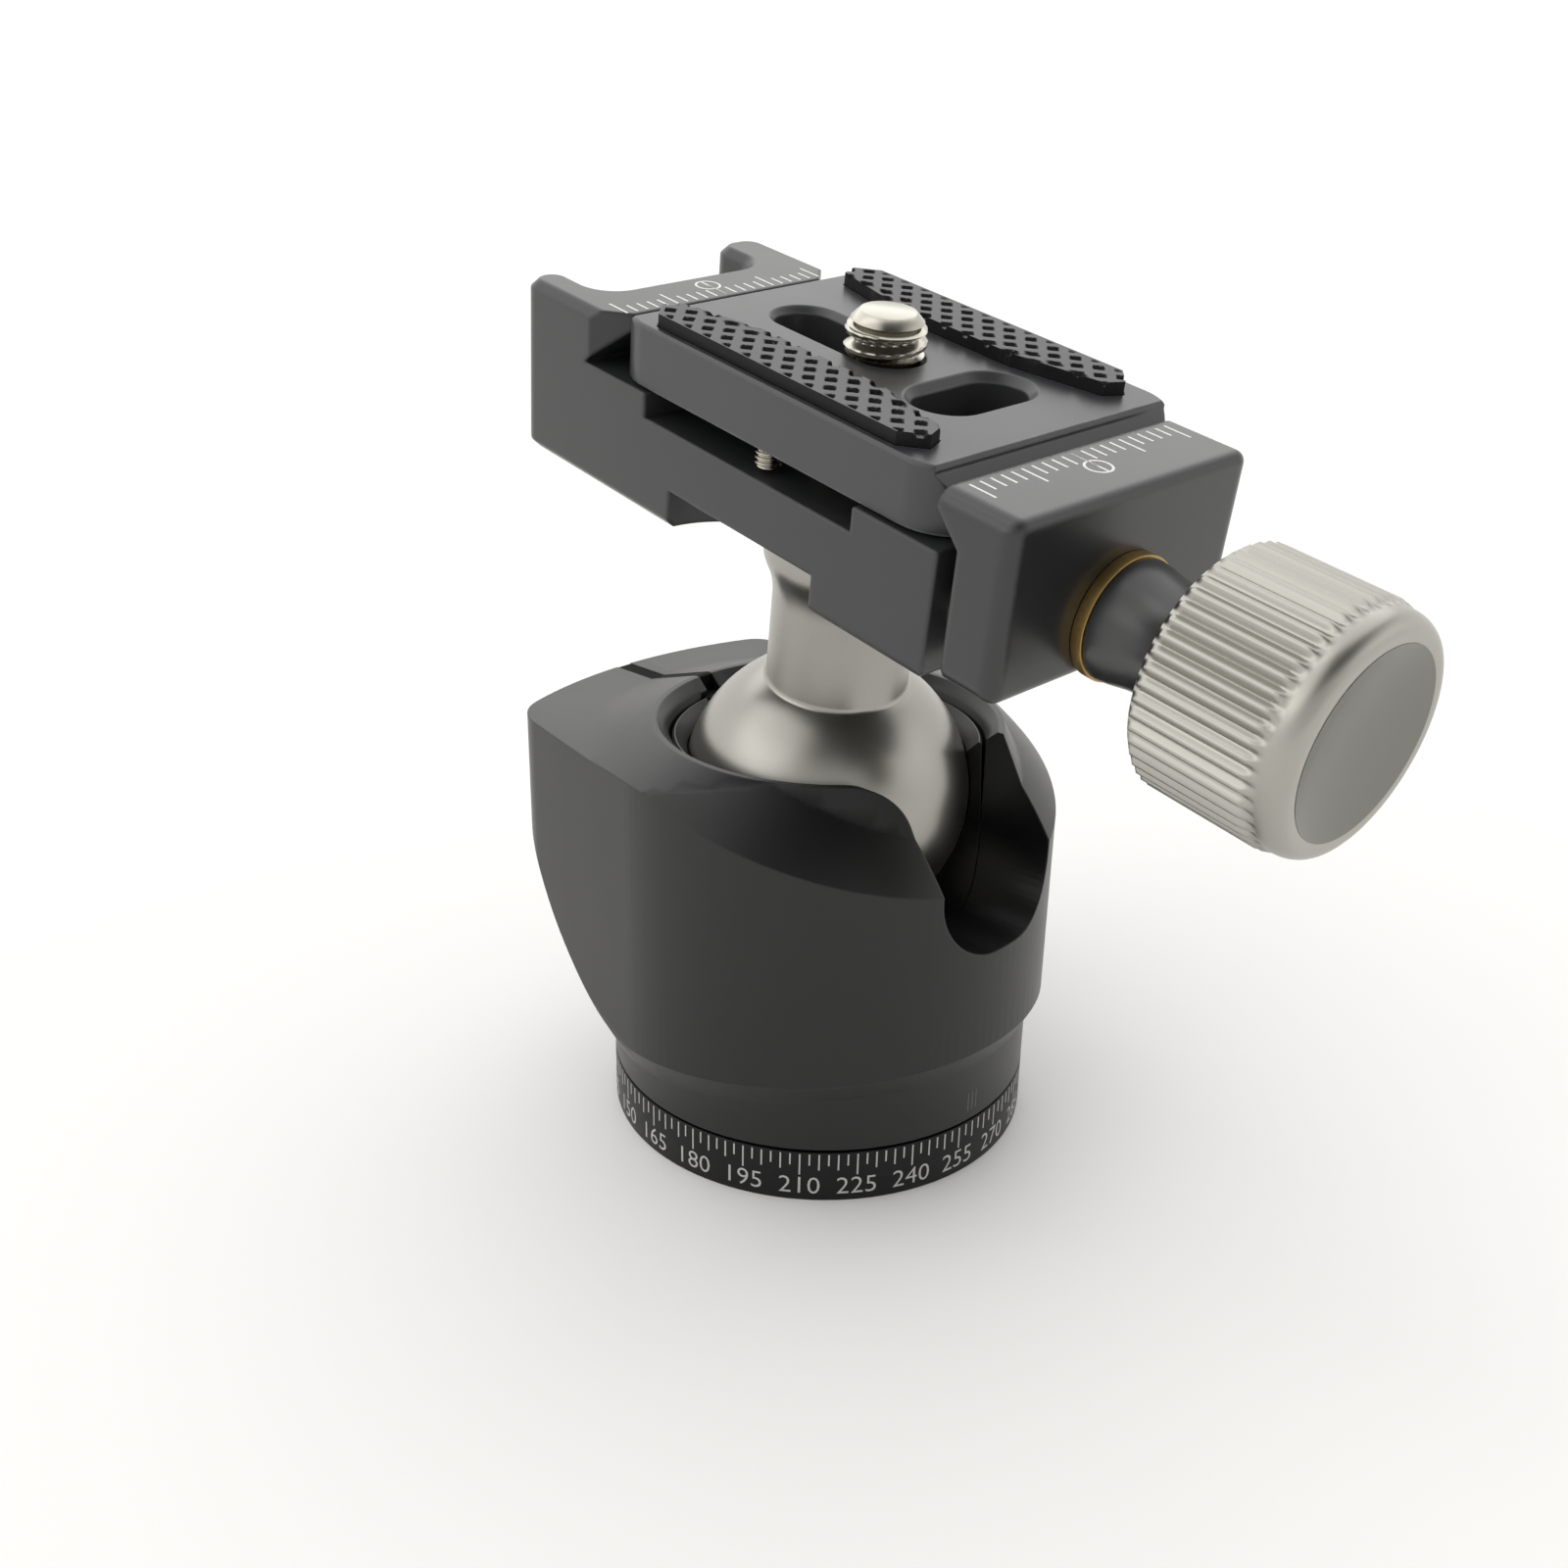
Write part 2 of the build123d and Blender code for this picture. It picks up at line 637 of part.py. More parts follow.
# ================================================================ ball and stem
with BuildPart() as ball_stem:
    stem_w = sqrt(ball_r ** 2 - stem_r ** 2)
    hole_w = stem_thread_end - clear_gap
    with BuildSketch(head_section):
        with BuildLine():
            ThreePointArc((0, -ball_r), (ball_r, 0), (stem_r, stem_w))
            Polyline((stem_r, stem_w), (stem_r, flange_foot_w), (flange_r, flange_w), (flange_r, stem_top_w),
                     (stem_thread_r + running_gap, stem_top_w), (stem_thread_r + running_gap, hole_w),
                     (0, hole_w), (0, -ball_r))
        make_face()
    revolve(axis=Axis(head.origin, head.z_dir))

with BuildPart() as clamp_mount_screw:
    add(rod(head, stem_thread_end, channel_w, stem_thread_r))
    add(rod(head, channel_w, channel_w + mount_head_t, mount_head_r))
    add(hexagon(head, channel_w + mount_head_t - mount_hex_depth, channel_w + mount_head_t, mount_hex_r),
        mode=Mode.SUBTRACT)

# ================================================================ clamp
with BuildPart() as clamp_base:
    with BuildSketch(head.offset(clamp_w)) as plan:
        with BuildLine():
            Polyline((jaw_out_u, -clamp_half_v), (jaw_out_u, bay_v0), (bay_u, bay_v0), (bay_u, bay_v1),
                     (jaw_out_u, bay_v1), (jaw_out_u, clamp_half_v), (base_end_u, clamp_half_v),
                     (base_end_u, -clamp_half_v), close=True)
        make_face()
        corners = plan.vertices().group_by(Axis.X)
        fillet(corners[0].sort_by(Axis.Y)[:2], horn_front_r)
        fillet(plan.vertices().group_by(Axis.X)[0].filter_by(lambda corner: corner.Y > 0), horn_back_r)
        fillet([plan.vertices().sort_by_distance((bay_u, v))[0] for v in (bay_v0, bay_v1)], bay_corner_r)
    extrude(amount=jaw_top_w - clamp_w)
    upright = Axis(head.origin, head.z_dir)
    faces = clamp_base.faces().filter_by(upright).sort_by(upright)
    chamfer(faces[0].edges() + faces[-1].edges(), clamp_edge)
    with BuildSketch(head_section):
        with BuildLine():
            Polyline((fixed_lip_u, jaw_top_w + over), (fixed_lip_u, lip_w),
                     (fixed_lip_u - (lip_w - dovetail_w), dovetail_w), (-channel_half, dovetail_w),
                     (-channel_half, channel_w), (channel_half, channel_w), (channel_half, dovetail_w),
                     (base_end_u + over, dovetail_w), (base_end_u + over, jaw_top_w + over), close=True)
        make_face()
    extrude(amount=clamp_half_v + over, both=True, mode=Mode.SUBTRACT)
    with BuildSketch(head.offset(dovetail_w)):
        lip_end = fixed_lip_u + over
        for way in (-1, 1):
            edge_v = way * clamp_half_v
            past_v = edge_v + way * over
            with BuildLine():
                Polyline((fixed_lip_u - lead_in, edge_v), (lip_end, edge_v - way * (lead_in + over)),
                         (lip_end, past_v), (fixed_lip_u - lead_in, past_v), close=True)
            make_face()
    extrude(amount=jaw_top_w - dovetail_w + over, mode=Mode.SUBTRACT)
    with BuildSketch(head.offset(clamp_w)):
        with Locations((0, clamp_half_v), (0, -clamp_half_v)):
            Circle(scallop_r)
    extrude(amount=scallop_h, mode=Mode.SUBTRACT)
    add(rod(head, clamp_w - over, channel_w + over, stem_thread_r + seat_gap), mode=Mode.SUBTRACT)
    add(rod(along_u(0, knob_w), screw_end_u - clear_gap, base_end_u + over, clamp_thread_r + running_gap),
        mode=Mode.SUBTRACT)
    for way in (-1, 1):
        add(rod(along_u(way * pin_v, knob_w), pin_end - pin_l - clear_gap, base_end_u + over,
                pin_r + running_gap), mode=Mode.SUBTRACT)
        add(rod(along_u(way * spring_v, knob_w), base_end_u - spring_depth, base_end_u + over,
                spring_r + spring_wire_r + seat_gap), mode=Mode.SUBTRACT)

with BuildPart() as moving_jaw:
    with BuildSketch(head_section) as jaw_outline:
        with BuildLine():
            Polyline((jaw_in_u, jaw_w), (jaw_in_u, lip_w - (jaw_in_u - moving_lip_u)), (moving_lip_u, lip_w),
                     (moving_lip_u, jaw_top_w), (jaw_out, jaw_top_w), (jaw_out, jaw_w), close=True)
        make_face()
        fillet(jaw_outline.vertices().sort_by_distance((jaw_out, jaw_top_w))[0], jaw_round)
        fillet(jaw_outline.vertices().sort_by_distance((jaw_out, jaw_w))[0], jaw_round)
    extrude(amount=clamp_half_v, both=True)
    uprights = moving_jaw.edges().filter_by(Axis(head.origin, head.z_dir))
    fillet(uprights.sort_by(Axis(head.origin, head.x_dir))[-2:], jaw_out_r)
    add(rod(along_u(0, knob_w), jaw_in_u - over, jaw_out + over, clamp_thread_r + running_gap),
        mode=Mode.SUBTRACT)
    for way in (-1, 1):
        add(rod(along_u(way * pin_v, knob_w), jaw_in_u - over, pin_end, pin_r + seat_gap),
            mode=Mode.SUBTRACT)

with BuildPart() as guide_pins:
    for way in (-1, 1):
        add(rod(along_u(way * pin_v, knob_w), pin_end - pin_l, pin_end - face_gap, pin_r))

with BuildPart() as jaw_springs:
    for way in (-1, 1):
        start = base_end_u - spring_depth + spring_wire_r + face_gap
        span = jaw_in_u - spring_wire_r - face_gap - start
        coil = along_u(way * spring_v, knob_w).offset(start)
        with BuildLine() as wire:
            Helix(span / spring_turns, span, spring_r, center=coil.origin, direction=coil.z_dir)
        with BuildSketch(Plane(origin=wire.line @ 0, z_dir=wire.line % 0)):
            Circle(spring_wire_r)
        sweep(path=wire.line, is_frenet=True)

# ================================================================ clamp screw and knob
with BuildPart() as clamp_screw:
    add(rod(along_u(0, knob_w), screw_end_u, knob_u + stud_in, clamp_thread_r))

with BuildPart() as thrust_washer_brass:
    add(tube(along_u(0, knob_w), brass_u, neck_u - face_gap, brass_r, clamp_thread_r + seat_gap))

with BuildPart() as knob_neck:
    add(tube(along_u(0, knob_w), neck_u, knob_u - face_gap, neck_r, clamp_thread_r + seat_gap))

with BuildPart() as clamp_knob:
    add(knob(along_u(0, knob_w), knob_u, knob_l, knob_r, knob_ribs, knob_dish_r, knob_dish_depth,
             clamp_thread_r + seat_gap, stud_in + seat_gap))

# ================================================================ camera plate
plate_top_plane = head.offset(plate_top)


def strip_face(way, grow):
    """Sketch face of one grip strip on the plate's top, grown by a gap."""
    with BuildSketch(plate_top_plane) as face:
        with BuildLine():
            rows = [(strip_half_l, strip_tip), (strip_tip_l, strip_out), (-strip_tip_l, strip_out),
                    (-strip_half_l, strip_tip), (-strip_ear_l, strip_ear), (-strip_waist_l, strip_in),
                    (strip_waist_l, strip_in), (strip_ear_l, strip_ear)]
            Polyline(*[(strip_u + u, plate_v + way * v) for u, v in rows], close=True)
        make_face()
        if grow:
            offset(amount=grow, kind=Kind.INTERSECTION)
    return face.sketch


with BuildPart() as camera_plate:
    with BuildSketch(head_section):
        with BuildLine():
            left = grip_u - plate_half_u
            right = grip_u + plate_half_u
            land = plate_w + plate_land
            Polyline((left, plate_w), (left, land), (left + plate_flank, land + plate_flank),
                     (left + plate_flank, plate_top), (right - plate_flank, plate_top),
                     (right - plate_flank, land + plate_flank), (right, land), (right, plate_w), close=True)
        make_face()
    extrude(amount=plate_half_v + plate_v, both=True)
    with BuildSketch(head.offset(plate_w)):
        with Locations((grip_u, plate_v)):
            RectangleRounded(2 * plate_half_u, 2 * plate_half_v, plate_corner_r)
    extrude(amount=plate_t, mode=Mode.INTERSECT)
    top = camera_plate.faces().sort_by(Axis(head.origin, head.z_dir))[-1]
    chamfer(top.edges(), plate_edge)
    with BuildSketch(head.offset(plate_w)):
        with Locations(((slot_u0 + slot_u1) / 2, slot_v)):
            SlotCenterToCenter(slot_u1 - slot_u0, slot_w)
        with Locations((tool_u, slot_v)):
            SlotOverall(tool_l, tool_w, rotation=90)
    extrude(amount=plate_t, mode=Mode.SUBTRACT)
    top = camera_plate.faces().sort_by(Axis(head.origin, head.z_dir))[-1]
    mouths = top.inner_wires().sort_by(Axis(head.origin, head.x_dir))
    chamfer(mouths[0].edges(), slot_edge)
    top = camera_plate.faces().sort_by(Axis(head.origin, head.z_dir))[-1]
    mouths = top.inner_wires().sort_by(Axis(head.origin, head.x_dir))
    chamfer(mouths[-1].edges(), tool_edge)
    with BuildSketch(head.offset(plate_w)):
        with Locations(((slot_u0 + slot_u1) / 2, slot_v)):
            SlotCenterToCenter(slot_u1 - slot_u0, 2 * (cam_head_r + recess_gap))
    extrude(amount=recess_depth, mode=Mode.SUBTRACT)
    for way in (-1, 1):
        extrude(strip_face(way, seat_gap), amount=-strip_sink, mode=Mode.SUBTRACT)
        add(rod(up_w(stop_u, plate_v + way * stop_v), plate_w - over, plate_w + stop_in + seat_gap,
                stop_thread_r + seat_gap), mode=Mode.SUBTRACT)

with BuildPart() as grip_strip_front:
    extrude(strip_face(-1, 0), amount=strip_h)
    extrude(strip_face(-1, 0), amount=-strip_sink + seat_gap)

with BuildPart() as grip_strip_back:
    extrude(strip_face(1, 0), amount=strip_h)
    extrude(strip_face(1, 0), amount=-strip_sink + seat_gap)

with BuildPart() as plate_stop_screws:
    for way in (-1, 1):
        place = up_w(stop_u, plate_v + way * stop_v)
        add(rod(place, plate_w - stop_out, plate_w + stop_in, stop_thread_r))
        add(hexagon(place, plate_w - stop_out, plate_w - stop_out + stop_hex_depth, stop_hex_r),
            mode=Mode.SUBTRACT)

# ================================================================ camera screw
cam = up_w(cam_u, slot_v)
cam_end = plate_top + cam_top

with BuildPart() as camera_screw:
    add(lathe(cam, (0, cam_head_w), (cam_head_r, cam_head_w), (cam_head_r, cam_head_w + cam_head_t),
              (cam_neck_r, cam_head_w + cam_head_t), (cam_neck_r, plate_top), (camera_thread_r, plate_top
              + running_gap), (camera_thread_r, cam_end - cam_edge), (camera_thread_r - cam_edge, cam_end),
              (0, cam_end)))
    add(hexagon(cam, cam_head_w, cam_head_w + cam_hex_depth, cam_hex_r), mode=Mode.SUBTRACT)

with BuildPart() as camera_screw_washer:
    add(tube(cam, recess_w - cam_washer_t - face_gap, recess_w - face_gap, cam_washer_r,
             cam_neck_r + running_gap))

# ================================================================ export
os.makedirs("parts", exist_ok=True)
nodes = {
    "pan_base": pan_base,
    "tripod_thread_insert": tripod_thread_insert,
    "pan_friction_washer": pan_friction_washer,
    "pan_retaining_plate": pan_retaining_plate,
    "pan_retaining_screws": pan_retaining_screws,
    "ball_housing": ball_housing,
    "slit_seal": slit_seal,
    "ball_liner": ball_liner,
    "ball_seat": ball_seat,
    "main_thrust_washer": main_thrust_washer,
    "main_lock_screw": main_lock_screw,
    "main_knob": main_knob,
    "pan_lock_shoe": pan_lock_shoe,
    "pan_lock_screw": pan_lock_screw,
    "pan_lock_knob": pan_lock_knob,
    "ball_stem": ball_stem,
    "clamp_mount_screw": clamp_mount_screw,
    "clamp_base": clamp_base,
    "moving_jaw": moving_jaw,
    "guide_pins": guide_pins,
    "jaw_springs": jaw_springs,
    "clamp_screw": clamp_screw,
    "thrust_washer_brass": thrust_washer_brass,
    "knob_neck": knob_neck,
    "clamp_knob": clamp_knob,
    "camera_plate": camera_plate,
    "grip_strip_front": grip_strip_front,
    "grip_strip_back": grip_strip_back,
    "plate_stop_screws": plate_stop_screws,
    "camera_screw": camera_screw,
    "camera_screw_washer": camera_screw_washer,
}
for name, node in nodes.items():
    node.part.label = name
    export_step(node.part, f"parts/{name}.step")
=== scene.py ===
"""Dressed model of a small tripod ball head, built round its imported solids. Sizes are written in
millimetres and turned into metres as each piece is put in its place. +Z is up, and the origin is the
centre of the base's underside."""

from collections import namedtuple
from math import atan2, cos, hypot, pi, radians, sin, sqrt

import bmesh
import bpy
from mathutils import Matrix, Vector


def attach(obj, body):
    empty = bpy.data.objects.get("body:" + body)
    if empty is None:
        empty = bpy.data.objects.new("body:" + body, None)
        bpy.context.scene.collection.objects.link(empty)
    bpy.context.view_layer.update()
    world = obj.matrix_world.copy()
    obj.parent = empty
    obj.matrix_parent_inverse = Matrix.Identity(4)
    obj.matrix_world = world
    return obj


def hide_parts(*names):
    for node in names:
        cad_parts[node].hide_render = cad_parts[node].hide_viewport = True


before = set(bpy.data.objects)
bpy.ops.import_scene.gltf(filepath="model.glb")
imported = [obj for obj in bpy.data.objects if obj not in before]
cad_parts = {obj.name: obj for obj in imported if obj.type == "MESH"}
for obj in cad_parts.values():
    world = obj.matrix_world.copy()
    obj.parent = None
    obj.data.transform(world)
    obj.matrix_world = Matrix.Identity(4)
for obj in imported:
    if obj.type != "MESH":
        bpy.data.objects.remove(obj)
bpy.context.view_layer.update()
scene = bpy.context.scene

# ---------------------------------------------------------------- frames
METRE = Matrix.Scale(0.001, 4)


def facing(origin, normal, x_dir):
    """Frame at a place with its z along a normal."""
    z = Vector(normal).normalized()
    x = Vector(x_dir).normalized()
    return Matrix.Translation(origin) @ Matrix((x, z.cross(x), z)).transposed().to_4x4()


def polar(angle):
    """Level direction at an angle from +X."""
    return Vector((cos(radians(angle)), sin(radians(angle)), 0))


def further(place, reach):
    """Frame moved along its own z."""
    return place @ Matrix.Translation((0, 0, reach))


WORLD = Matrix.Identity(4)
BALL_Z = 30.3
TAIL = polar(140)                # where the clamping ears point
LEAN_SIDE = radians(3.7)         # how the stem leans in the pose shown, and how the clamp is turned
LEAN_FRONT = radians(9.4)
HEAD_TURN = radians(-47)
HEAD = (further(WORLD, BALL_Z) @ Matrix.Rotation(LEAN_SIDE, 4, "Y")
        @ Matrix.Rotation(LEAN_FRONT, 4, "X") @ Matrix.Rotation(HEAD_TURN, 4, "Z"))
SCREW = HEAD @ facing((0, 0, 28.94), (1, 0, 0), (0, 1, 0))           # axis of the clamp's knob
EAR = facing(TAIL * 17.2 + Vector((0, 0, 24)), polar(50), TAIL)      # axis of the main lock
PAN_LOCK = facing((0, 0, 8), polar(72), (0, 0, 1))                   # axis of the pan lock


# ---------------------------------------------------------------- node trees
class Wiring:
    """Adds nodes to one tree and joins them."""

    def __init__(self, tree):
        self.tree = tree

    def feed(self, socket, value):
        """Link or value for a socket."""
        if isinstance(value, bpy.types.NodeSocket):
            self.tree.links.new(value, socket)
        else:
            socket.default_value = value

    def add(self, kind, inputs=None, **settings):
        """New node with its settings made and its inputs fed."""
        made = self.tree.nodes.new(kind)
        for key, value in settings.items():
            setattr(made, key, value)
        for key, value in (inputs or {}).items():
            self.feed(made.inputs[key], value)
        return made

    def math(self, operation, *values, clamp=False):
        """Result of one sum."""
        made = self.add("ShaderNodeMath", operation=operation, use_clamp=clamp)
        for socket, value in zip(made.inputs, values):
            self.feed(socket, value)
        return made.outputs[0]

    def ramp(self, value, low, high, to_low=0.0, to_high=1.0, smooth=False):
        """Value mapped from one range to another and held inside it."""
        inputs = {"Value": value, "From Min": low, "From Max": high, "To Min": to_low, "To Max": to_high}
        style = "SMOOTHSTEP" if smooth else "LINEAR"
        return self.add("ShaderNodeMapRange", inputs, interpolation_type=style).outputs["Result"]

    def blend(self, share, first, second):
        """Colour between two colours."""
        made = self.add("ShaderNodeMix", {0: share, 6: first, 7: second}, data_type="RGBA")
        return made.outputs[2]

    def noise(self, where, scale, detail=2.0, roughness=0.5):
        """Cloudy value between 0 and 1."""
        inputs = {"Vector": where, "Scale": scale, "Detail": detail, "Roughness": roughness}
        return self.add("ShaderNodeTexNoise", inputs).outputs["Fac"]


def new_tree(name, kind, inputs, outputs):
    """Tree with named sockets, and the wiring to fill it."""
    tree = bpy.data.node_groups.new(name, kind)
    for label, socket, value in inputs:
        made = tree.interface.new_socket(label, in_out="INPUT", socket_type="NodeSocket" + socket)
        if value is not None:
            made.default_value = value
    for label, socket in outputs:
        tree.interface.new_socket(label, in_out="OUTPUT", socket_type="NodeSocket" + socket)
    wiring = Wiring(tree)
    inner = wiring.add("NodeGroupInput").outputs
    outer = wiring.add("NodeGroupOutput").inputs
    return wiring, inner, outer


# ---------------------------------------------------------------- shared surface effects
def blasted_grain_group():
    """Fine pitted grain of a bead-blasted and anodised surface."""
    w, given, out = new_tree("blasted_grain", "ShaderNodeTree",
                             [("Scale", "Float", 9000.0), ("Contrast", "Float", 0.2)],
                             [("Shade", "Float"), ("Height", "Float")])
    where = w.add("ShaderNodeTexCoord").outputs["Object"]
    fine = w.noise(where, given["Scale"], 2.0, 0.6)
    coarse = w.noise(where, w.math("MULTIPLY", given["Scale"], 0.21), 3.0, 0.6)
    height = w.math("ADD", w.math("MULTIPLY", fine, 0.65), w.math("MULTIPLY", coarse, 0.35))
    spread = w.math("MULTIPLY", w.math("SUBTRACT", height, 0.5), given["Contrast"])
    w.feed(out["Shade"], w.math("ADD", spread, 1.0))
    w.feed(out["Height"], height)
    return w.tree


def edge_wear_and_highlight_group():
    """Mask along edges, for the wear that hands and bags rub, and for a painted highlight along edges."""
    w, given, out = new_tree("edge_wear_and_highlight_mask", "ShaderNodeTree",
                             [("Radius", "Float", 0.0003), ("Amount", "Float", 0.5)],
                             [("Mask", "Float")])
    where = w.add("ShaderNodeTexCoord").outputs["Object"]
    plain = w.add("ShaderNodeNewGeometry").outputs["Normal"]
    soft = w.add("ShaderNodeBevel", {"Radius": given["Radius"]}, samples=4).outputs["Normal"]
    same = w.add("ShaderNodeVectorMath", {0: plain, 1: soft}, operation="DOT_PRODUCT").outputs["Value"]
    edge = w.ramp(w.math("SUBTRACT", 1.0, same), 0.02, 0.22)
    patchy = w.ramp(w.noise(where, 420.0, 4.0, 0.65), 0.35, 0.62)
    w.feed(out["Mask"], w.math("MULTIPLY", w.math("MULTIPLY", edge, patchy), given["Amount"], clamp=True))
    return w.tree


def handling_group():
    """Soft smudges over a handled surface."""
    w, given, out = new_tree("handling", "ShaderNodeTree",
                             [("Scale", "Float", 90.0), ("Amount", "Float", 0.08)],
                             [("Value", "Float")])
    where = w.add("ShaderNodeTexCoord").outputs["Object"]
    cloud = w.noise(where, given["Scale"], 5.0, 0.6)
    w.feed(out["Value"], w.math("MULTIPLY", w.math("SUBTRACT", cloud, 0.5), given["Amount"]))
    return w.tree


def lint_group():
    """Sparse pale specks of dust."""
    w, given, out = new_tree("lint", "ShaderNodeTree", [("Amount", "Float", 0.5)], [("Mask", "Float")])
    where = w.add("ShaderNodeTexCoord").outputs["Object"]
    cells = w.add("ShaderNodeTexVoronoi", {"Vector": where, "Scale": 620.0}, feature="F1")
    speck = w.ramp(cells.outputs["Distance"], 0.05, 0.09, 1.0, 0.0)
    rare = w.math("GREATER_THAN", w.noise(where, 310.0, 1.0), 0.62)
    w.feed(out["Mask"], w.math("MULTIPLY", w.math("MULTIPLY", speck, rare), given["Amount"]))
    return w.tree


DUST = (0.42, 0.41, 0.4, 1)
GRAIN_DEPTH = 0.00004
GRAIN = blasted_grain_group()
EDGE_WEAR_AND_HIGHLIGHT_TREE = edge_wear_and_highlight_group()
HANDLING = handling_group()
LINT = lint_group()


# ---------------------------------------------------------------- materials
def finish(name, colour, roughness, metallic=0.0, grain=(9000.0, 0.2, 0.1), edge_wear_and_highlight=(0.0003, 0.0),
           edge_wear_and_highlight_colour=(0.3, 0.3, 0.3, 1), handling=0.08, lint=0.0, specular=0.5, broken=0.0, crown=None):
    """Material with a grain, paler edges, smudges and dust, and on the rubber a painted sheen. Grain is its
    scale, contrast and depth, the edge wear and highlight pair is the width and the amount of the paler
    edges, which stand for rubbed wear and, on the plate, for a painted highlight along its edges, broken is
    the radius of edges that the mesh leaves sharp, and crown is the colour of faces that lie flat on the
    camera plate, a painted sheen on the rubber's ridge tops."""
    material = bpy.data.materials.new(name)
    material.use_nodes = True
    w = Wiring(material.node_tree)
    shader = material.node_tree.nodes["Principled BSDF"]
    grains = w.add("ShaderNodeGroup", {"Scale": grain[0], "Contrast": grain[1]}, node_tree=GRAIN)
    shade = w.add("ShaderNodeVectorMath", {0: colour[:3], "Scale": grains.outputs["Shade"]},
                  operation="SCALE").outputs["Vector"]
    # faces that look up along the plate's normal get the crown colour: a painted sheen on the rubber's
    # ridge tops
    if crown:
        out_of = w.add("ShaderNodeTexCoord").outputs["Normal"]
        level = w.add("ShaderNodeVectorMath", {0: out_of, 1: HEAD.col[2].xyz},
                      operation="DOT_PRODUCT").outputs["Value"]
        shade = w.blend(w.ramp(level, 0.75, 0.97), shade, crown)
    # paler edges: rubbed wear, and on the plate a painted highlight along its edges
    if edge_wear_and_highlight[1]:
        edges = w.add("ShaderNodeGroup", {"Radius": edge_wear_and_highlight[0], "Amount": edge_wear_and_highlight[1]}, node_tree=EDGE_WEAR_AND_HIGHLIGHT_TREE)
        shade = w.blend(edges.outputs["Mask"], shade, edge_wear_and_highlight_colour)
    if lint:
        dust = w.add("ShaderNodeGroup", {"Amount": lint}, node_tree=LINT)
        shade = w.blend(dust.outputs["Mask"], shade, DUST)
    smudge = w.add("ShaderNodeGroup", {"Amount": handling}, node_tree=HANDLING)
    bump = w.add("ShaderNodeBump", {"Strength": grain[2], "Distance": GRAIN_DEPTH,
                                    "Height": grains.outputs["Height"]})
    if broken:
        soft = w.add("ShaderNodeBevel", {"Radius": broken}, samples=4)
        w.feed(bump.inputs["Normal"], soft.outputs["Normal"])
    w.feed(shader.inputs["Base Color"], shade)
    w.feed(shader.inputs["Roughness"], w.math("ADD", smudge.outputs["Value"], roughness, clamp=True))
    w.feed(shader.inputs["Normal"], bump.outputs["Normal"])
    shader.inputs["Metallic"].default_value = metallic
    shader.inputs["Specular IOR Level"].default_value = specular
    return material


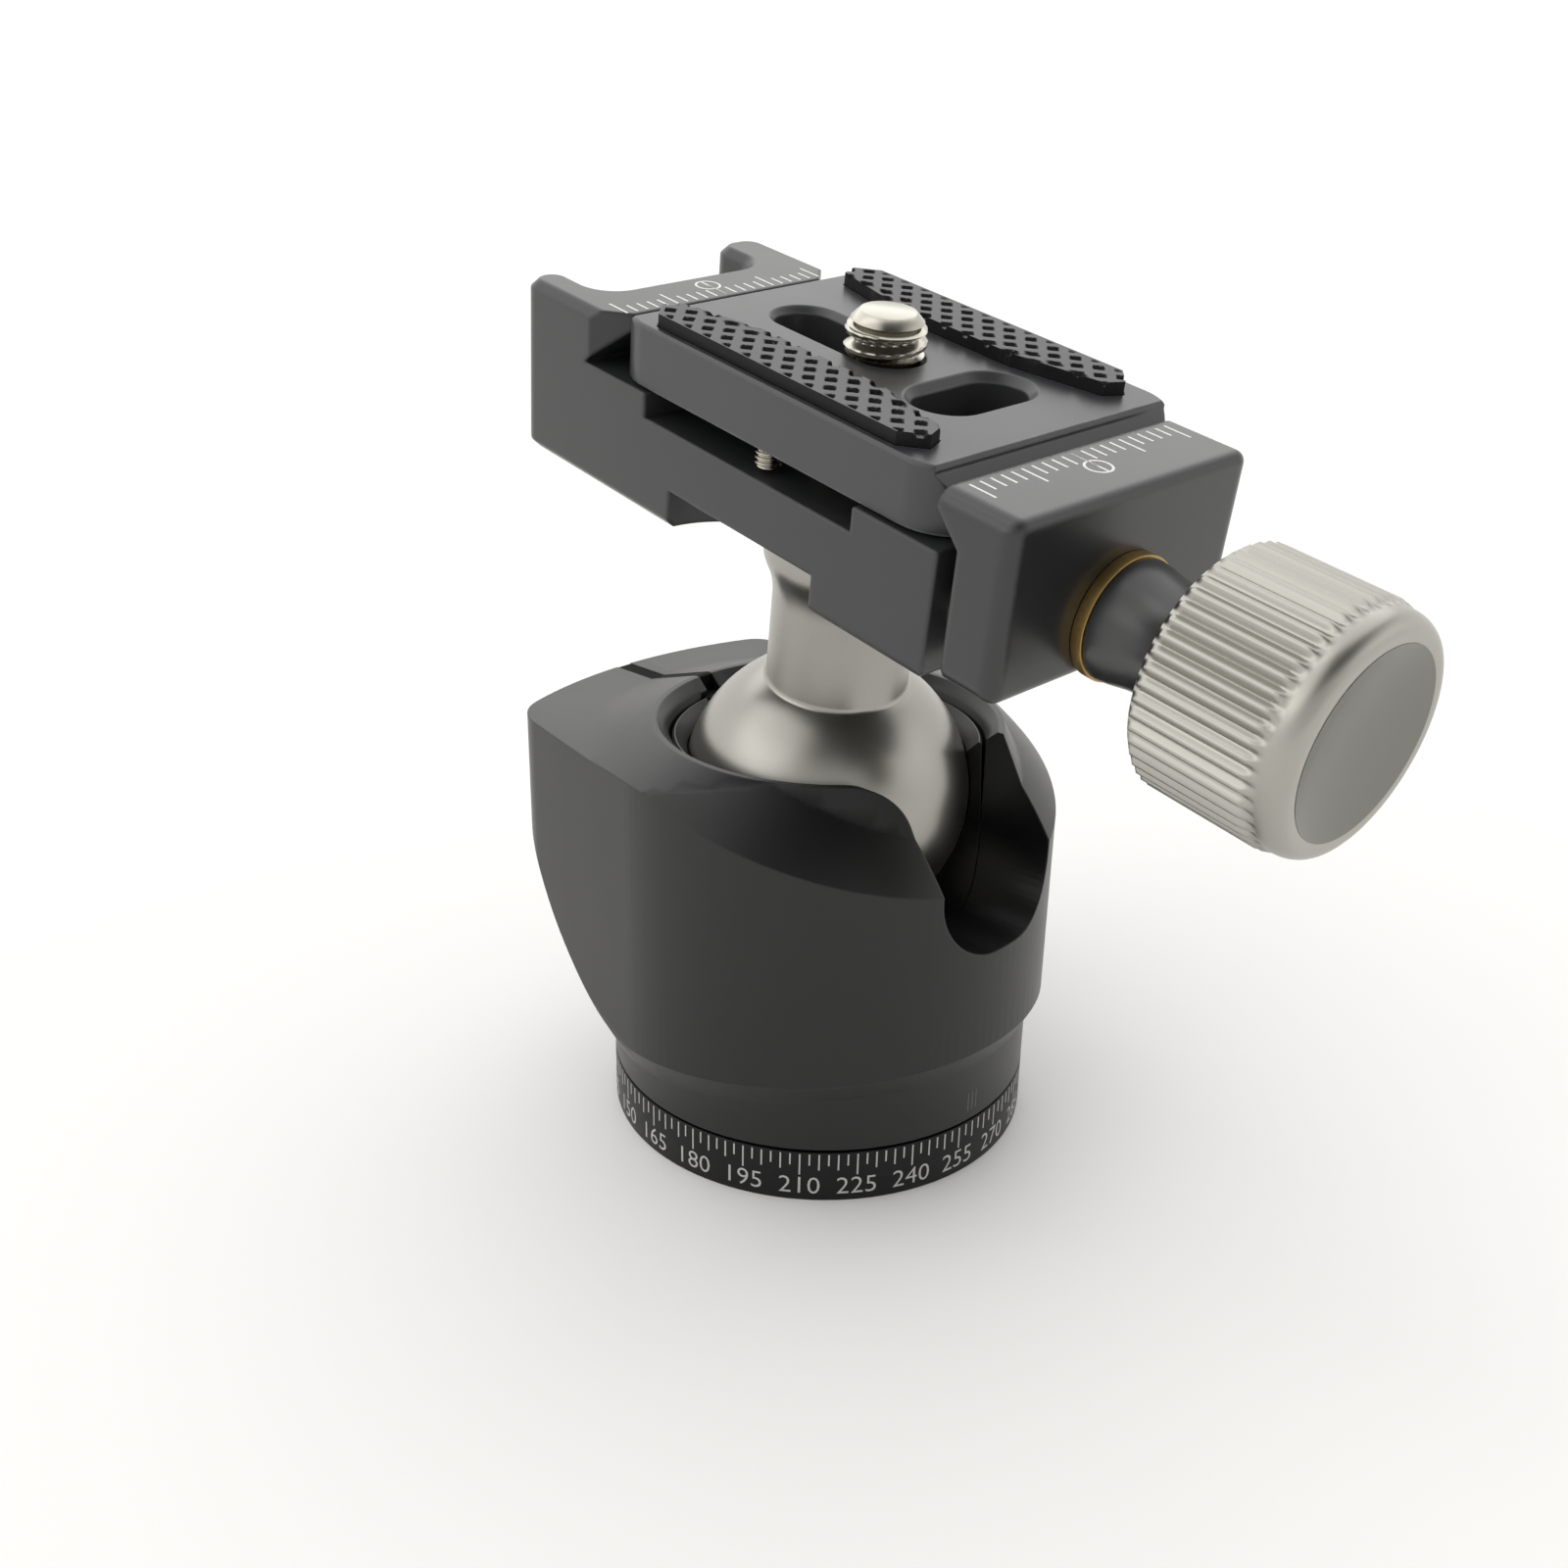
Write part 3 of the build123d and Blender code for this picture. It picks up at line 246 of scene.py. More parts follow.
FINISH = {
    "ring_black": finish("ring_black", (0.003, 0.0022, 0.003, 1), 0.42, grain=(7000.0, 0.5, 0.1),
                         edge_wear_and_highlight=(0.0002, 0.25), edge_wear_and_highlight_colour=(0.12, 0.12, 0.12, 1), specular=0.3),
    "housing_black": finish("housing_black", (0.003, 0.003, 0.0035, 1), 0.37, grain=(5200.0, 0.9, 0.2),
                            edge_wear_and_highlight=(0.0003, 0.1), edge_wear_and_highlight_colour=(0.10, 0.10, 0.10, 1), broken=0.00022),
    "clamp_black": finish("clamp_black", (0.024, 0.025, 0.027, 1), 0.33, grain=(7000.0, 0.3, 0.1),
                          edge_wear_and_highlight=(0.0003, 0.3), edge_wear_and_highlight_colour=(0.16, 0.16, 0.17, 1), specular=0.55,
                          broken=0.0005),
    "jaw_black": finish("jaw_black", (0.016, 0.0165, 0.018, 1), 0.26, grain=(7000.0, 0.3, 0.1),
                        edge_wear_and_highlight=(0.0003, 0.3), edge_wear_and_highlight_colour=(0.16, 0.16, 0.17, 1), specular=0.65,
                        broken=0.0006),
    # its pale edge colour at full amount is a painted highlight along the plate's edges
    "plate_black": finish("plate_black", (0.034, 0.035, 0.038, 1), 0.34, grain=(7000.0, 0.25, 0.08),
                          edge_wear_and_highlight=(0.0003, 1.0), edge_wear_and_highlight_colour=(0.5, 0.51, 0.52, 1), specular=0.58,
                          broken=0.00012),
    "neck_black": finish("neck_black", (0.022, 0.023, 0.024, 1), 0.30, grain=(8000.0, 0.3, 0.05),
                         specular=0.9),
    "ball_grey": finish("ball_grey", (0.35, 0.342, 0.313, 1), 0.31, metallic=1.0,
                        grain=(8000.0, 0.1, 0.1), handling=0.05),
    "knob_grey": finish("knob_grey", (0.385, 0.377, 0.342, 1), 0.33, metallic=1.0,
                        grain=(8000.0, 0.1, 0.1), edge_wear_and_highlight=(0.0002, 0.3),
                        edge_wear_and_highlight_colour=(0.7, 0.69, 0.65, 1), handling=0.06),
    "dish_grey": finish("dish_grey", (0.21, 0.207, 0.19, 1), 0.36, metallic=1.0,
                        grain=(8000.0, 0.1, 0.1), handling=0.06),
    "steel": finish("steel", (0.46, 0.44, 0.385, 1), 0.22, metallic=1.0, grain=(3000.0, 0.12, 0.08),
                    handling=0.12),
    "brass": finish("brass", (0.46, 0.31, 0.115, 1), 0.38, metallic=1.0, grain=(2500.0, 0.35, 0.12),
                    handling=0.2),
    # the crown colour is a painted sheen on the tops of the ridges
    "rubber_black": finish("rubber_black", (0.004, 0.0035, 0.004, 1), 0.62, grain=(2600.0, 0.8, 1.0),
                           lint=0.2, specular=0.3, crown=(0.15, 0.147, 0.15, 1)),
    "seal_rubber": finish("seal_rubber", (0.005, 0.005, 0.005, 1), 0.8, grain=(1600.0, 0.8, 1.0),
                          lint=0.1, specular=0.15),
    "plastic_black": finish("plastic_black", (0.0025, 0.0025, 0.0025, 1), 0.34, grain=(4000.0, 0.3, 0.12)),
    "plastic_white": finish("plastic_white", (0.80, 0.80, 0.79, 1), 0.5, grain=(9000.0, 0.3, 0.1)),
    "ring_print": finish("ring_print", (0.46, 0.46, 0.45, 1), 0.5, grain=(9000.0, 0.5, 0.1)),
    "faint_white": finish("faint_white", (0.08, 0.08, 0.08, 1), 0.5, grain=(9000.0, 0.3, 0.1)),
}


# ---------------------------------------------------------------- making pieces
def new_object(name, data):
    """Object in the scene, from its mesh, text, lamp or lens."""
    made = bpy.data.objects.new(name, data)
    scene.collection.objects.link(made)
    return made


def plain_mesh(source, name):
    """The object's shape with its modifiers worked in, as a mesh; the object itself goes."""
    depsgraph = bpy.context.evaluated_depsgraph_get()
    mesh = bpy.data.meshes.new_from_object(source.evaluated_get(depsgraph))
    mesh.name = name
    bpy.data.objects.remove(source)
    return mesh


def smooth(mesh, angle=32.0):
    """Smooth shading that breaks at sharp edges."""
    mesh.polygons.foreach_set("use_smooth", [True] * len(mesh.polygons))
    mesh.set_sharp_from_angle(angle=radians(angle))
    return mesh


def painted(name, mesh, finish_name):
    """Object with one finish all over."""
    mesh.materials.clear()
    mesh.materials.append(FINISH[finish_name])
    return new_object(name, mesh)


def put(name, mesh, place, body, slot, *replaced, material=None):
    """A finished piece on its body: moved to its place, painted, and standing for its solids."""
    mesh.transform(METRE @ place)
    made = painted(name, mesh, material or slot)
    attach(made, body)
    if replaced:
        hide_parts(*replaced)


def joined(name, *meshes):
    """Several meshes as one."""
    bm = bmesh.new()
    for mesh in meshes:
        bm.from_mesh(mesh)
    result = bpy.data.meshes.new(name)
    bm.to_mesh(result)
    bm.free()
    return result


NEARLY_STRAIGHT = radians(155)


def eased(points, radius, closed=False, segments=3):
    """Outline with its sharp corners rounded."""
    result = []
    last = len(points) - 1
    for i, point in enumerate(points):
        here = Vector(point[:2])
        if not closed and i in (0, last):
            result.append(tuple(point))
            continue
        before = Vector(points[i - 1][:2]) - here
        after = Vector(points[(i + 1) % len(points)][:2]) - here
        if before.angle(after) > NEARLY_STRAIGHT:
            result.append(tuple(point))
            continue
        cut = min(radius, 0.45 * before.length, 0.45 * after.length)
        start = here + before.normalized() * cut
        end = here + after.normalized() * cut
        for k in range(segments + 1):
            t = k / segments
            spot = start * (1 - t) ** 2 + here * (2 * t * (1 - t)) + end * t ** 2
            result.append((spot.x, spot.y) + tuple(point[2:]))
    return result


def arc(centre, radius, start, end, count):
    """Points on a circle in an outline, from one angle to another."""
    angles = [radians(start + (end - start) * k / count) for k in range(count + 1)]
    return [(centre[0] + radius * cos(a), centre[1] + radius * sin(a)) for a in angles]


def stretched(points, spacing, relief, closed):
    """Outline with more points wherever the relief is cut."""
    result = []
    pairs = list(zip(points, points[1:] + points[:1]))
    for (first, second) in pairs if closed else pairs[:-1]:
        result.append(first)
        count = 1
        if relief(*first[:2]) or relief(*second[:2]):
            count = max(1, round(hypot(second[0] - first[0], second[1] - first[1]) / spacing))
        for k in range(1, count):
            t = k / count
            result.append(tuple(a + (b - a) * t for a, b in zip(first[:2], second[:2])) + tuple(first[2:]))
    return result if closed else result + [points[-1]]


def lathe(outline, steps=96, spacing=None, relief=None):
    """Mesh turned about z from an outline of (radius, height). A third number gives a ring that many
    flat sides. The outline runs from axis to axis, or closes on itself."""
    closed = outline[0][0] > 0 or outline[-1][0] > 0
    points = stretched(outline, spacing, relief, closed) if relief else outline
    bm = bmesh.new()
    share = bm.verts.layers.float.new("relief")
    rings = []
    for point in points:
        radius, height = point[:2]
        ring = []
        for k in range(steps if radius > 0 else 1):
            angle = 2 * pi * k / steps
            reach = radius
            if len(point) > 2:
                part = 2 * pi / point[2]
                reach = radius * cos(part / 2) / cos(angle % part - part / 2)
            vertex = bm.verts.new((reach * cos(angle), reach * sin(angle), height))
            vertex[share] = relief(radius, height) if relief else 0.0
            ring.append(vertex)
        rings.append(ring)
    pairs = list(zip(rings, rings[1:] + rings[:1]))
    for lower, upper in pairs if closed else pairs[:-1]:
        for k in range(steps):
            a, b = lower[k % len(lower)], lower[(k + 1) % len(lower)]
            c, d = upper[(k + 1) % len(upper)], upper[k % len(upper)]
            corners = list(dict.fromkeys((a, b, c, d)))
            if len(corners) > 2:
                bm.faces.new(corners)
    bmesh.ops.recalc_face_normals(bm, faces=bm.faces)
    mesh = bpy.data.meshes.new("turned")
    bm.to_mesh(mesh)
    bm.free()
    return smooth(mesh)


def grown(name, tree, values, base=None):
    """Mesh that a geometry tree makes from its named inputs."""
    source = new_object(name, base or bpy.data.meshes.new(name))
    modifier = source.modifiers.new("shape", "NODES")
    modifier.node_group = tree
    for item in tree.interface.items_tree:
        if item.in_out == "INPUT" and item.name in values:
            modifier[item.identifier] = values[item.name]
    return plain_mesh(source, name)


FLAT = radians(0.4)              # faces within this angle become one


def dressed(node, name, body, slot, edge=0.12, angle=28.0, material=None, moved=None):
    """Copy of a solid with its sharp edges broken, standing for it. Edges count as sharp above the
    angle. Moved gives the new place of a vertex, in millimetres."""
    bm = bmesh.new()
    bm.from_mesh(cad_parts[node].data)
    bmesh.ops.remove_doubles(bm, verts=bm.verts, dist=1e-6)
    if edge:
        bmesh.ops.dissolve_limit(bm, angle_limit=FLAT, verts=bm.verts, edges=bm.edges)
    mesh = bpy.data.meshes.new(name)
    bm.to_mesh(mesh)
    bm.free()
    source = new_object(name + "_blank", smooth(mesh, angle))
    if edge:
        bevel = source.modifiers.new("edges", "BEVEL")
        bevel.width = edge * 0.001
        bevel.segments = 2
        bevel.limit_method = "ANGLE"
        bevel.angle_limit = radians(angle)
        bevel.use_clamp_overlap = True
        weight = source.modifiers.new("faces", "WEIGHTED_NORMAL")
        weight.keep_sharp = True
    mesh = plain_mesh(source, name)
    if moved:
        for vertex in mesh.vertices:
            vertex.co = moved(vertex.co * 1000) * 0.001
    made = painted(name, mesh, material or slot)
    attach(made, body)
    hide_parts(node)


# ---------------------------------------------------------------- geometry trees
def painted_tree(w, given, out, geometry):
    """Ends a geometry tree: instances made real, and the material set."""
    real = w.add("GeometryNodeRealizeInstances", {"Geometry": geometry})
    done = w.add("GeometryNodeSetMaterial", {"Geometry": real.outputs[0], "Material": given["Material"]})
    w.feed(out["Geometry"], done.outputs[0])
    return w.tree


def cut_relief_tree():
    """Presses ribs or a thread into a turned mesh, as deep as its relief attribute says."""
    w, given, out = new_tree("cut_relief", "GeometryNodeTree",
                             [("Geometry", "Geometry", None), ("Starts", "Float", 1.0),
                              ("Turns per mm", "Float", 0.0), ("Depth", "Float", 0.4),
                              ("Land", "Float", 0.1), ("Root", "Float", 0.0), ("Power", "Float", 1.0),
                              ("Material", "Material", None)],
                             [("Geometry", "Geometry")])
    where = w.add("GeometryNodeInputPosition").outputs[0]
    x, y, z = w.add("ShaderNodeSeparateXYZ", {0: where}).outputs
    turn = w.math("DIVIDE", w.math("ARCTAN2", y, x), 2 * pi)
    phase = w.math("ADD", w.math("MULTIPLY", turn, given["Starts"]),
                   w.math("MULTIPLY", z, given["Turns per mm"]))
    off_crest = w.math("ABSOLUTE", w.math("SUBTRACT", w.math("FRACT", phase), 0.5))
    across = w.math("MULTIPLY", off_crest, 2.0)
    fall = w.ramp(across, given["Land"], w.math("SUBTRACT", 1.0, given["Root"]))
    fall = w.math("POWER", fall, given["Power"])
    share = w.add("GeometryNodeInputNamedAttribute", {"Name": "relief"}, data_type="FLOAT").outputs[0]
    inward = w.math("MULTIPLY", w.math("MULTIPLY", fall, given["Depth"]), w.math("MULTIPLY", share, -1.0))
    level = w.add("ShaderNodeCombineXYZ", {0: x, 1: y}).outputs[0]
    radial = w.add("ShaderNodeVectorMath", {0: level}, operation="NORMALIZE").outputs[0]
    offset = w.add("ShaderNodeVectorMath", {0: radial, "Scale": inward}, operation="SCALE").outputs[0]
    moved = w.add("GeometryNodeSetPosition", {"Geometry": given["Geometry"], "Offset": offset})
    return painted_tree(w, given, out, moved.outputs[0])


def graduation_tree():
    """Scale marks as thin bars: along a straight edge, or round a ring when Step isn't zero."""
    w, given, out = new_tree("graduation", "GeometryNodeTree",
                             [("Count", "Int", 10), ("Pitch", "Float", 1.0), ("Step", "Float", 0.0),
                              ("Start", "Float", 0.0), ("Radius", "Float", 0.0), ("Width", "Float", 0.2),
                              ("Thickness", "Float", 0.05), ("Short", "Float", 1.0),
                              ("Medium", "Float", 1.0), ("Long", "Float", 2.0),
                              ("Medium every", "Int", 5), ("Long every", "Int", 5),
                              ("Material", "Material", None)],
                             [("Geometry", "Geometry")])
    index = w.add("GeometryNodeInputIndex").outputs[0]
    angle = w.math("ADD", w.math("MULTIPLY", index, given["Step"]), given["Start"])
    x = w.math("MULTIPLY", w.math("COSINE", angle), given["Radius"])
    straight = w.math("MULTIPLY", index, given["Pitch"])
    y = w.math("ADD", w.math("MULTIPLY", w.math("SINE", angle), given["Radius"]), straight)
    place = w.add("ShaderNodeCombineXYZ", {0: x, 1: y}).outputs[0]
    points = w.add("GeometryNodePoints", {"Count": given["Count"], "Position": place}).outputs[0]
    medium = w.math("LESS_THAN", w.math("MODULO", index, given["Medium every"]), 0.5)
    major = w.math("LESS_THAN", w.math("MODULO", index, given["Long every"]), 0.5)
    more = w.math("MULTIPLY", medium, w.math("SUBTRACT", given["Medium"], given["Short"]))
    length = w.math("ADD", given["Short"], more)
    rest = w.math("MULTIPLY", major, w.math("SUBTRACT", given["Long"], length))
    length = w.math("ADD", length, rest)
    bar = w.add("GeometryNodeMeshCube", {"Size": (1.0, 1.0, 1.0)}).outputs[0]
    hung = w.add("GeometryNodeTransform", {"Geometry": bar, "Translation": (0.0, 0.0, -0.5)}).outputs[0]
    turned = w.add("ShaderNodeCombineXYZ", {2: angle}).outputs[0]
    turned = w.add("FunctionNodeEulerToRotation", {0: turned}).outputs[0]
    size = w.add("ShaderNodeCombineXYZ", {0: given["Thickness"], 1: given["Width"], 2: length}).outputs[0]
    bars = w.add("GeometryNodeInstanceOnPoints",
                 {"Points": points, "Instance": hung, "Rotation": turned, "Scale": size}).outputs[0]
    return painted_tree(w, given, out, bars)


def pit_lattice_tree():
    """Presses a diamond lattice of pits into a flat rubber face, leaving ridges between them."""
    w, given, out = new_tree("pit_lattice", "GeometryNodeTree",
                             [("Geometry", "Geometry", None), ("Pitch", "Float", 1.6),
                              ("Ridge", "Float", 0.5), ("Depth", "Float", 0.4), ("Phase u", "Float", 0.0),
                              ("Phase v", "Float", 0.0), ("Material", "Material", None)],
                             [("Geometry", "Geometry")])
    where = w.add("GeometryNodeInputPosition").outputs[0]
    place = w.add("ShaderNodeSeparateXYZ", {0: where}).outputs
    u = w.math("SUBTRACT", place[0], given["Phase u"])
    v = w.math("SUBTRACT", place[1], given["Phase v"])
    span = w.math("MULTIPLY", given["Pitch"], sqrt(2))
    half_ridge = w.math("DIVIDE", w.math("MULTIPLY", given["Ridge"], 0.5), given["Pitch"])
    inside = []
    for way in ("ADD", "SUBTRACT"):
        turn = w.math("DIVIDE", w.math(way, u, v), span)
        off = w.math("ABSOLUTE", w.math("SUBTRACT", w.math("FRACT", w.math("ADD", turn, 0.5)), 0.5))
        edge = w.math("SUBTRACT", 0.5, half_ridge)
        inside.append(w.ramp(off, w.math("SUBTRACT", edge, 0.09), edge, 1.0, 0.0, smooth=True))
    share = w.add("GeometryNodeInputNamedAttribute", {"Name": "relief"}, data_type="FLOAT").outputs[0]
    pit = w.math("MULTIPLY", w.math("MULTIPLY", inside[0], inside[1]), share)
    drop = w.math("MULTIPLY", w.math("MULTIPLY", pit, given["Depth"]), -1.0)
    offset = w.add("ShaderNodeCombineXYZ", {2: drop}).outputs[0]
    moved = w.add("GeometryNodeSetPosition", {"Geometry": given["Geometry"], "Offset": offset})
    return painted_tree(w, given, out, moved.outputs[0])


RELIEF = cut_relief_tree()
GRADUATION = graduation_tree()
PITS = pit_lattice_tree()


def threaded(name, outline, pitch, depth, relief, slot, steps=72, angle=50):
    """Turned mesh with a right-hand thread cut in it."""
    base = lathe(outline, steps, pitch / 18, relief)
    values = {"Starts": 1.0, "Turns per mm": -1.0 / pitch, "Depth": depth, "Land": 0.22, "Root": 0.12,
              "Power": 1.0, "Material": FINISH[slot]}
    return smooth(grown(name, RELIEF, values, base), angle)


# ---------------------------------------------------------------- panning base and its scale
RING_R = 18.8
RING_H = 4.8
RING_MARK_R = RING_R - 0.01      # marks are sunk by a hair
ZERO_DIR = 56.22                 # where the scale's zero stands
INDEX_DIR = -46.15               # where the housing's first index line stands
SPINDLE_R = 11.5
NUMBER_SIZE = 2.4
NUMBER_MID = 1.43                # height of the numbers' middle
PRINT_T = 0.05


def base_pieces():
    """Base with its degree scale, and the threaded bush below."""
    outline = [(6.4, 0), (RING_R, 0), (RING_R, RING_H), (SPINDLE_R, RING_H), (SPINDLE_R, 6.5),
               (10.6, 7.3), (10.6, 8.7), (SPINDLE_R, 9.5), (SPINDLE_R, 10.92), (0, 10.92), (0, 8.6),
               (6.4, 8.6)]
    ring = lathe(eased(outline[:10], 0.14) + outline[10:], 192)
    put("scale_ring", ring, WORLD, "base", "ring_black", "pan_base")
    insert = [(4.1, 8.55), (6.35, 8.55), (6.35, 0.0), (4.9, 0.0), (4.1, 0.55)]
    thread = threaded("tripod_bush", insert, 1.5875, -0.62, lambda r, z: float(r < 4.2), "steel")
    put("tripod_bush", thread, WORLD, "base", "steel", "tripod_thread_insert")
    ticks = grown("degree_marks", GRADUATION,
                  {"Count": 144, "Pitch": 0.0, "Step": radians(2.5), "Start": radians(ZERO_DIR),
                   "Radius": RING_MARK_R, "Width": 0.13, "Thickness": PRINT_T, "Short": 1.1,
                   "Medium": 1.55, "Long": 2.05, "Medium every": 2, "Long every": 6,
                   "Material": FINISH["ring_print"]})
    numbers = [bent_number(15 * k) for k in range(24)]
    put("degree_marks", ticks, further(WORLD, RING_H - 0.16), "base", "plastic_white",
        material="ring_print")
    put("degree_numbers", joined("degree_numbers", *numbers), WORLD, "base", "plastic_white",
        material="ring_print")


def flat_text(text, size, thickness):
    """Mesh of a short text, standing for print."""
    curve = bpy.data.curves.new("print", "FONT")
    curve.body = text
    curve.size = size
    curve.align_x = "CENTER"
    curve.align_y = "CENTER"
    curve.extrude = thickness / 2
    curve.offset = -0.008 * size
    curve.resolution_u = 3
    return plain_mesh(new_object("print", curve), "print")


def bent_number(degrees):
    """A number of the scale, bent round the ring and set a little wide."""
    mesh = flat_text(str(degrees), NUMBER_SIZE, PRINT_T)
    for vertex in mesh.vertices:
        x, y, z = vertex.co
        angle = radians(ZERO_DIR + degrees) + x * 1.02 / RING_R
        reach = RING_MARK_R + z
        vertex.co = (reach * cos(angle), reach * sin(angle), NUMBER_MID + y)
    return mesh


# ---------------------------------------------------------------- knobs
Knob = namedtuple("Knob", "name axis start body solid radius length ribs hollow bore hub")
KNOBS = (
    # hollow and bore are a radius and a depth, and hub is a radius and a length
    Knob("clamp_knob", SCREW, 35.35, "clamp_knob_body", "clamp_knob", radius=9.05, length=12.0, ribs=50,
         hollow=(7.05, 1.3), bore=(3.05, 8.05), hub=None),
    Knob("lock_knob", EAR, 19.54, "lock_knob", "main_knob", radius=10.6, length=9.5, ribs=44,
         hollow=(7.6, 1.3), bore=(2.55, 6.05), hub=(4.2, 3.3)),
    Knob("pan_knob", PAN_LOCK, 20.7, "pan_knob", "pan_lock_knob", radius=3.9, length=7.5, ribs=24,
         hollow=(2.4, 0.5), bore=(2.05, 5.05), hub=None))


def hollow_outline(knob):
    """Round hollow in the knob's end, from its middle to its rim."""
    rim_r, depth = knob.hollow
    curve_r = (rim_r ** 2 + depth ** 2) / (2 * depth)
    half = atan2(rim_r, curve_r - depth)
    centre = knob.length + curve_r - depth
    return [(curve_r * sin(half * k / 14), centre - curve_r * cos(half * k / 14)) for k in range(15)]


def hollow_skin(knob):
    """Thin skin of the turned hollow."""
    inset = knob.hollow[0] / (knob.hollow[0] + 0.04)
    top, under = [[(inset * r, z + lift) for r, z in hollow_outline(knob)] for lift in (0.02, -0.06)]
    return lathe(top + under[::-1], 96)


def ribbed_knob(knob):
    """Knob with ribs that run out in points before a smooth rounded end with a hollow in it."""
    radius, length, bore, hub = knob.radius, knob.length, knob.bore, knob.hub
    crown = length - 1.8
    shoulder = crown - 0.9
    nose_z = crown + 0.15
    foot = radius - 0.3
    edge = 0.45
    inner = [(0, bore[1]), (bore[0], bore[1])]
    inner += [(bore[0], -hub[1]), (hub[0], -hub[1]), (hub[0], 0)] if hub else [(bore[0], 0)]
    side = [(radius - edge, 0), (radius, edge), (radius, shoulder), (foot, crown), (foot, nose_z)]
    nose = [(foot - 1.15 * (1 - cos(t)), nose_z + (length - nose_z) * sin(t))
            for t in [k * pi / 20 for k in range(1, 11)]]
    outline = inner + side + nose + hollow_outline(knob)[::-1]

    def relief(r, z):
        if r < radius - edge - 0.01 or z > crown or z < 0:
            return 0.0
        return min(1.0, z / edge, (crown - z) / (crown - shoulder))

    base = lathe(outline, knob.ribs * 12, 0.3, relief)
    values = {"Starts": float(knob.ribs), "Turns per mm": 0.0, "Depth": 0.42, "Land": 0.14, "Root": 0.1,
              "Power": 1.1, "Material": FINISH["knob_grey"]}
    return smooth(grown(knob.name + "_ribbed", RELIEF, values, base), 40)


def knob_pieces():
    """The three knobs, and what turns with the clamp's knob."""
    for knob in KNOBS:
        put(knob.name + "_hollow", hollow_skin(knob), further(knob.axis, knob.start), knob.body,
            "knob_grey", material="dish_grey")
    for knob in KNOBS:
        put(knob.name + "_ribbed", ribbed_knob(knob), further(knob.axis, knob.start), knob.body,
            "knob_grey", knob.solid)
    waist = [(4.6 - 0.45 * sin(pi * k / 12) ** 1.3, 28.4 + 6.6 * k / 12) for k in range(13)]
    neck = eased([(3.05, 27.85), (4.65, 27.85)] + waist + [(4.65, 35.33), (3.05, 35.33)], 0.12, True)
    put("clamp_knob_neck", lathe(neck), SCREW, "clamp_knob_body", "neck_black", "knob_neck")
    washer = eased([(3.05, 26.85), (4.8, 26.85), (4.8, 27.83), (3.05, 27.83)], 0.08, True)
    put("brass_washer", lathe(washer), SCREW, "clamp_knob_body", "brass", "thrust_washer_brass")
    shaft = [(0, 9.5), (2.4, 9.5), (3.0, 10.1), (3.0, 43.3), (0, 43.3)]      # plain, with no thread cut
    put("clamp_screw_threaded", smooth(lathe(shaft, 48), 50), SCREW, "clamp_knob_body", "steel",
        "clamp_screw")


# ---------------------------------------------------------------- ball and stem
def ball_piece():
    """Ball, stem and flared flange, with the hole for the screw that mounts the clamp."""
    ball_r = 12.5
    stem_r = 6.0
    hole_r = 2.55
    flange_top = 24.05
    join = sqrt(ball_r ** 2 - stem_r ** 2)
    globe = arc((0, 0), ball_r, -90, 90 - 30.6, 60)
    outline = [(0, -ball_r)] + globe[1:]
    outline += [(stem_r + 0.19, join - 0.12), (stem_r + 0.06, join + 0.05), (stem_r, join + 0.34),
                (stem_r, 18.6), (6.06, 19.4), (6.22, 20.2), (6.46, 20.9), (6.74, 21.5), (6.96, 22.1),
                (7.04, 22.6), (7.04, flange_top), (hole_r, flange_top), (hole_r, 11.7), (0, 11.7)]
    put("ball_and_stem", lathe(eased(outline, 0.12), 144), HEAD, "ball", "ball_grey", "ball_stem")


# ---------------------------------------------------------------- camera plate
PLATE_TOP = 39.12
PLATE_U = 0.9                    # middle of the plate
PLATE_V = 0.8
STRIP_H = 1.0                    # above the plate
STRIP_SINK = 0.5                 # below its top
STRIP_ROWS = ((6.7, 6.5), (8.4, 14.2), (10.0, 14.9), (11.65, 13.2))   # distance out, half length


def strip_mesh(way):
    """Rubber strip: a fine grid on top for the pressed pattern, with walls and a floor."""
    columns, lines = 300, 46
    nearest, furthest = STRIP_ROWS[0][0], STRIP_ROWS[-1][0]
    across = [nearest + k * (furthest - nearest) / lines for k in range(lines + 1)]
    bm = bmesh.new()
    share = bm.verts.layers.float.new("relief")
    grid = []
    for v in across:
        for (v0, l0), (v1, l1) in zip(STRIP_ROWS, STRIP_ROWS[1:]):
            if v0 - 1e-9 <= v <= v1 + 1e-9:
                reach = l0 + (l1 - l0) * (v - v0) / (v1 - v0)
        line = []
        for k in range(columns + 1):
            u = PLATE_U + reach * (2 * k / columns - 1)
            vertex = bm.verts.new((u, PLATE_V + way * v, PLATE_TOP + STRIP_H))
            vertex[share] = min(1.0, max(0.0, (furthest - v) / 0.3 - 0.5))
            line.append(vertex)
        grid.append(line)
    for lower, upper in zip(grid, grid[1:]):
        for k in range(columns):
            bm.faces.new((lower[k], lower[k + 1], upper[k + 1], upper[k]))
    rim = grid[0] + [line[-1] for line in grid[1:]] + grid[-1][-2::-1] + [line[0] for line in grid[-2:0:-1]]
    foot = []
    for vertex in rim:
        low = bm.verts.new((vertex.co.x, vertex.co.y, PLATE_TOP - STRIP_SINK))
        low[share] = 0.0
        foot.append(low)
    for k in range(len(rim)):
        after = (k + 1) % len(rim)
        bm.faces.new((rim[k], rim[after], foot[after], foot[k]))
    bm.faces.new(foot)
    bmesh.ops.recalc_face_normals(bm, faces=bm.faces)
    mesh = bpy.data.meshes.new("strip")
    bm.to_mesh(mesh)
    bm.free()
    return mesh


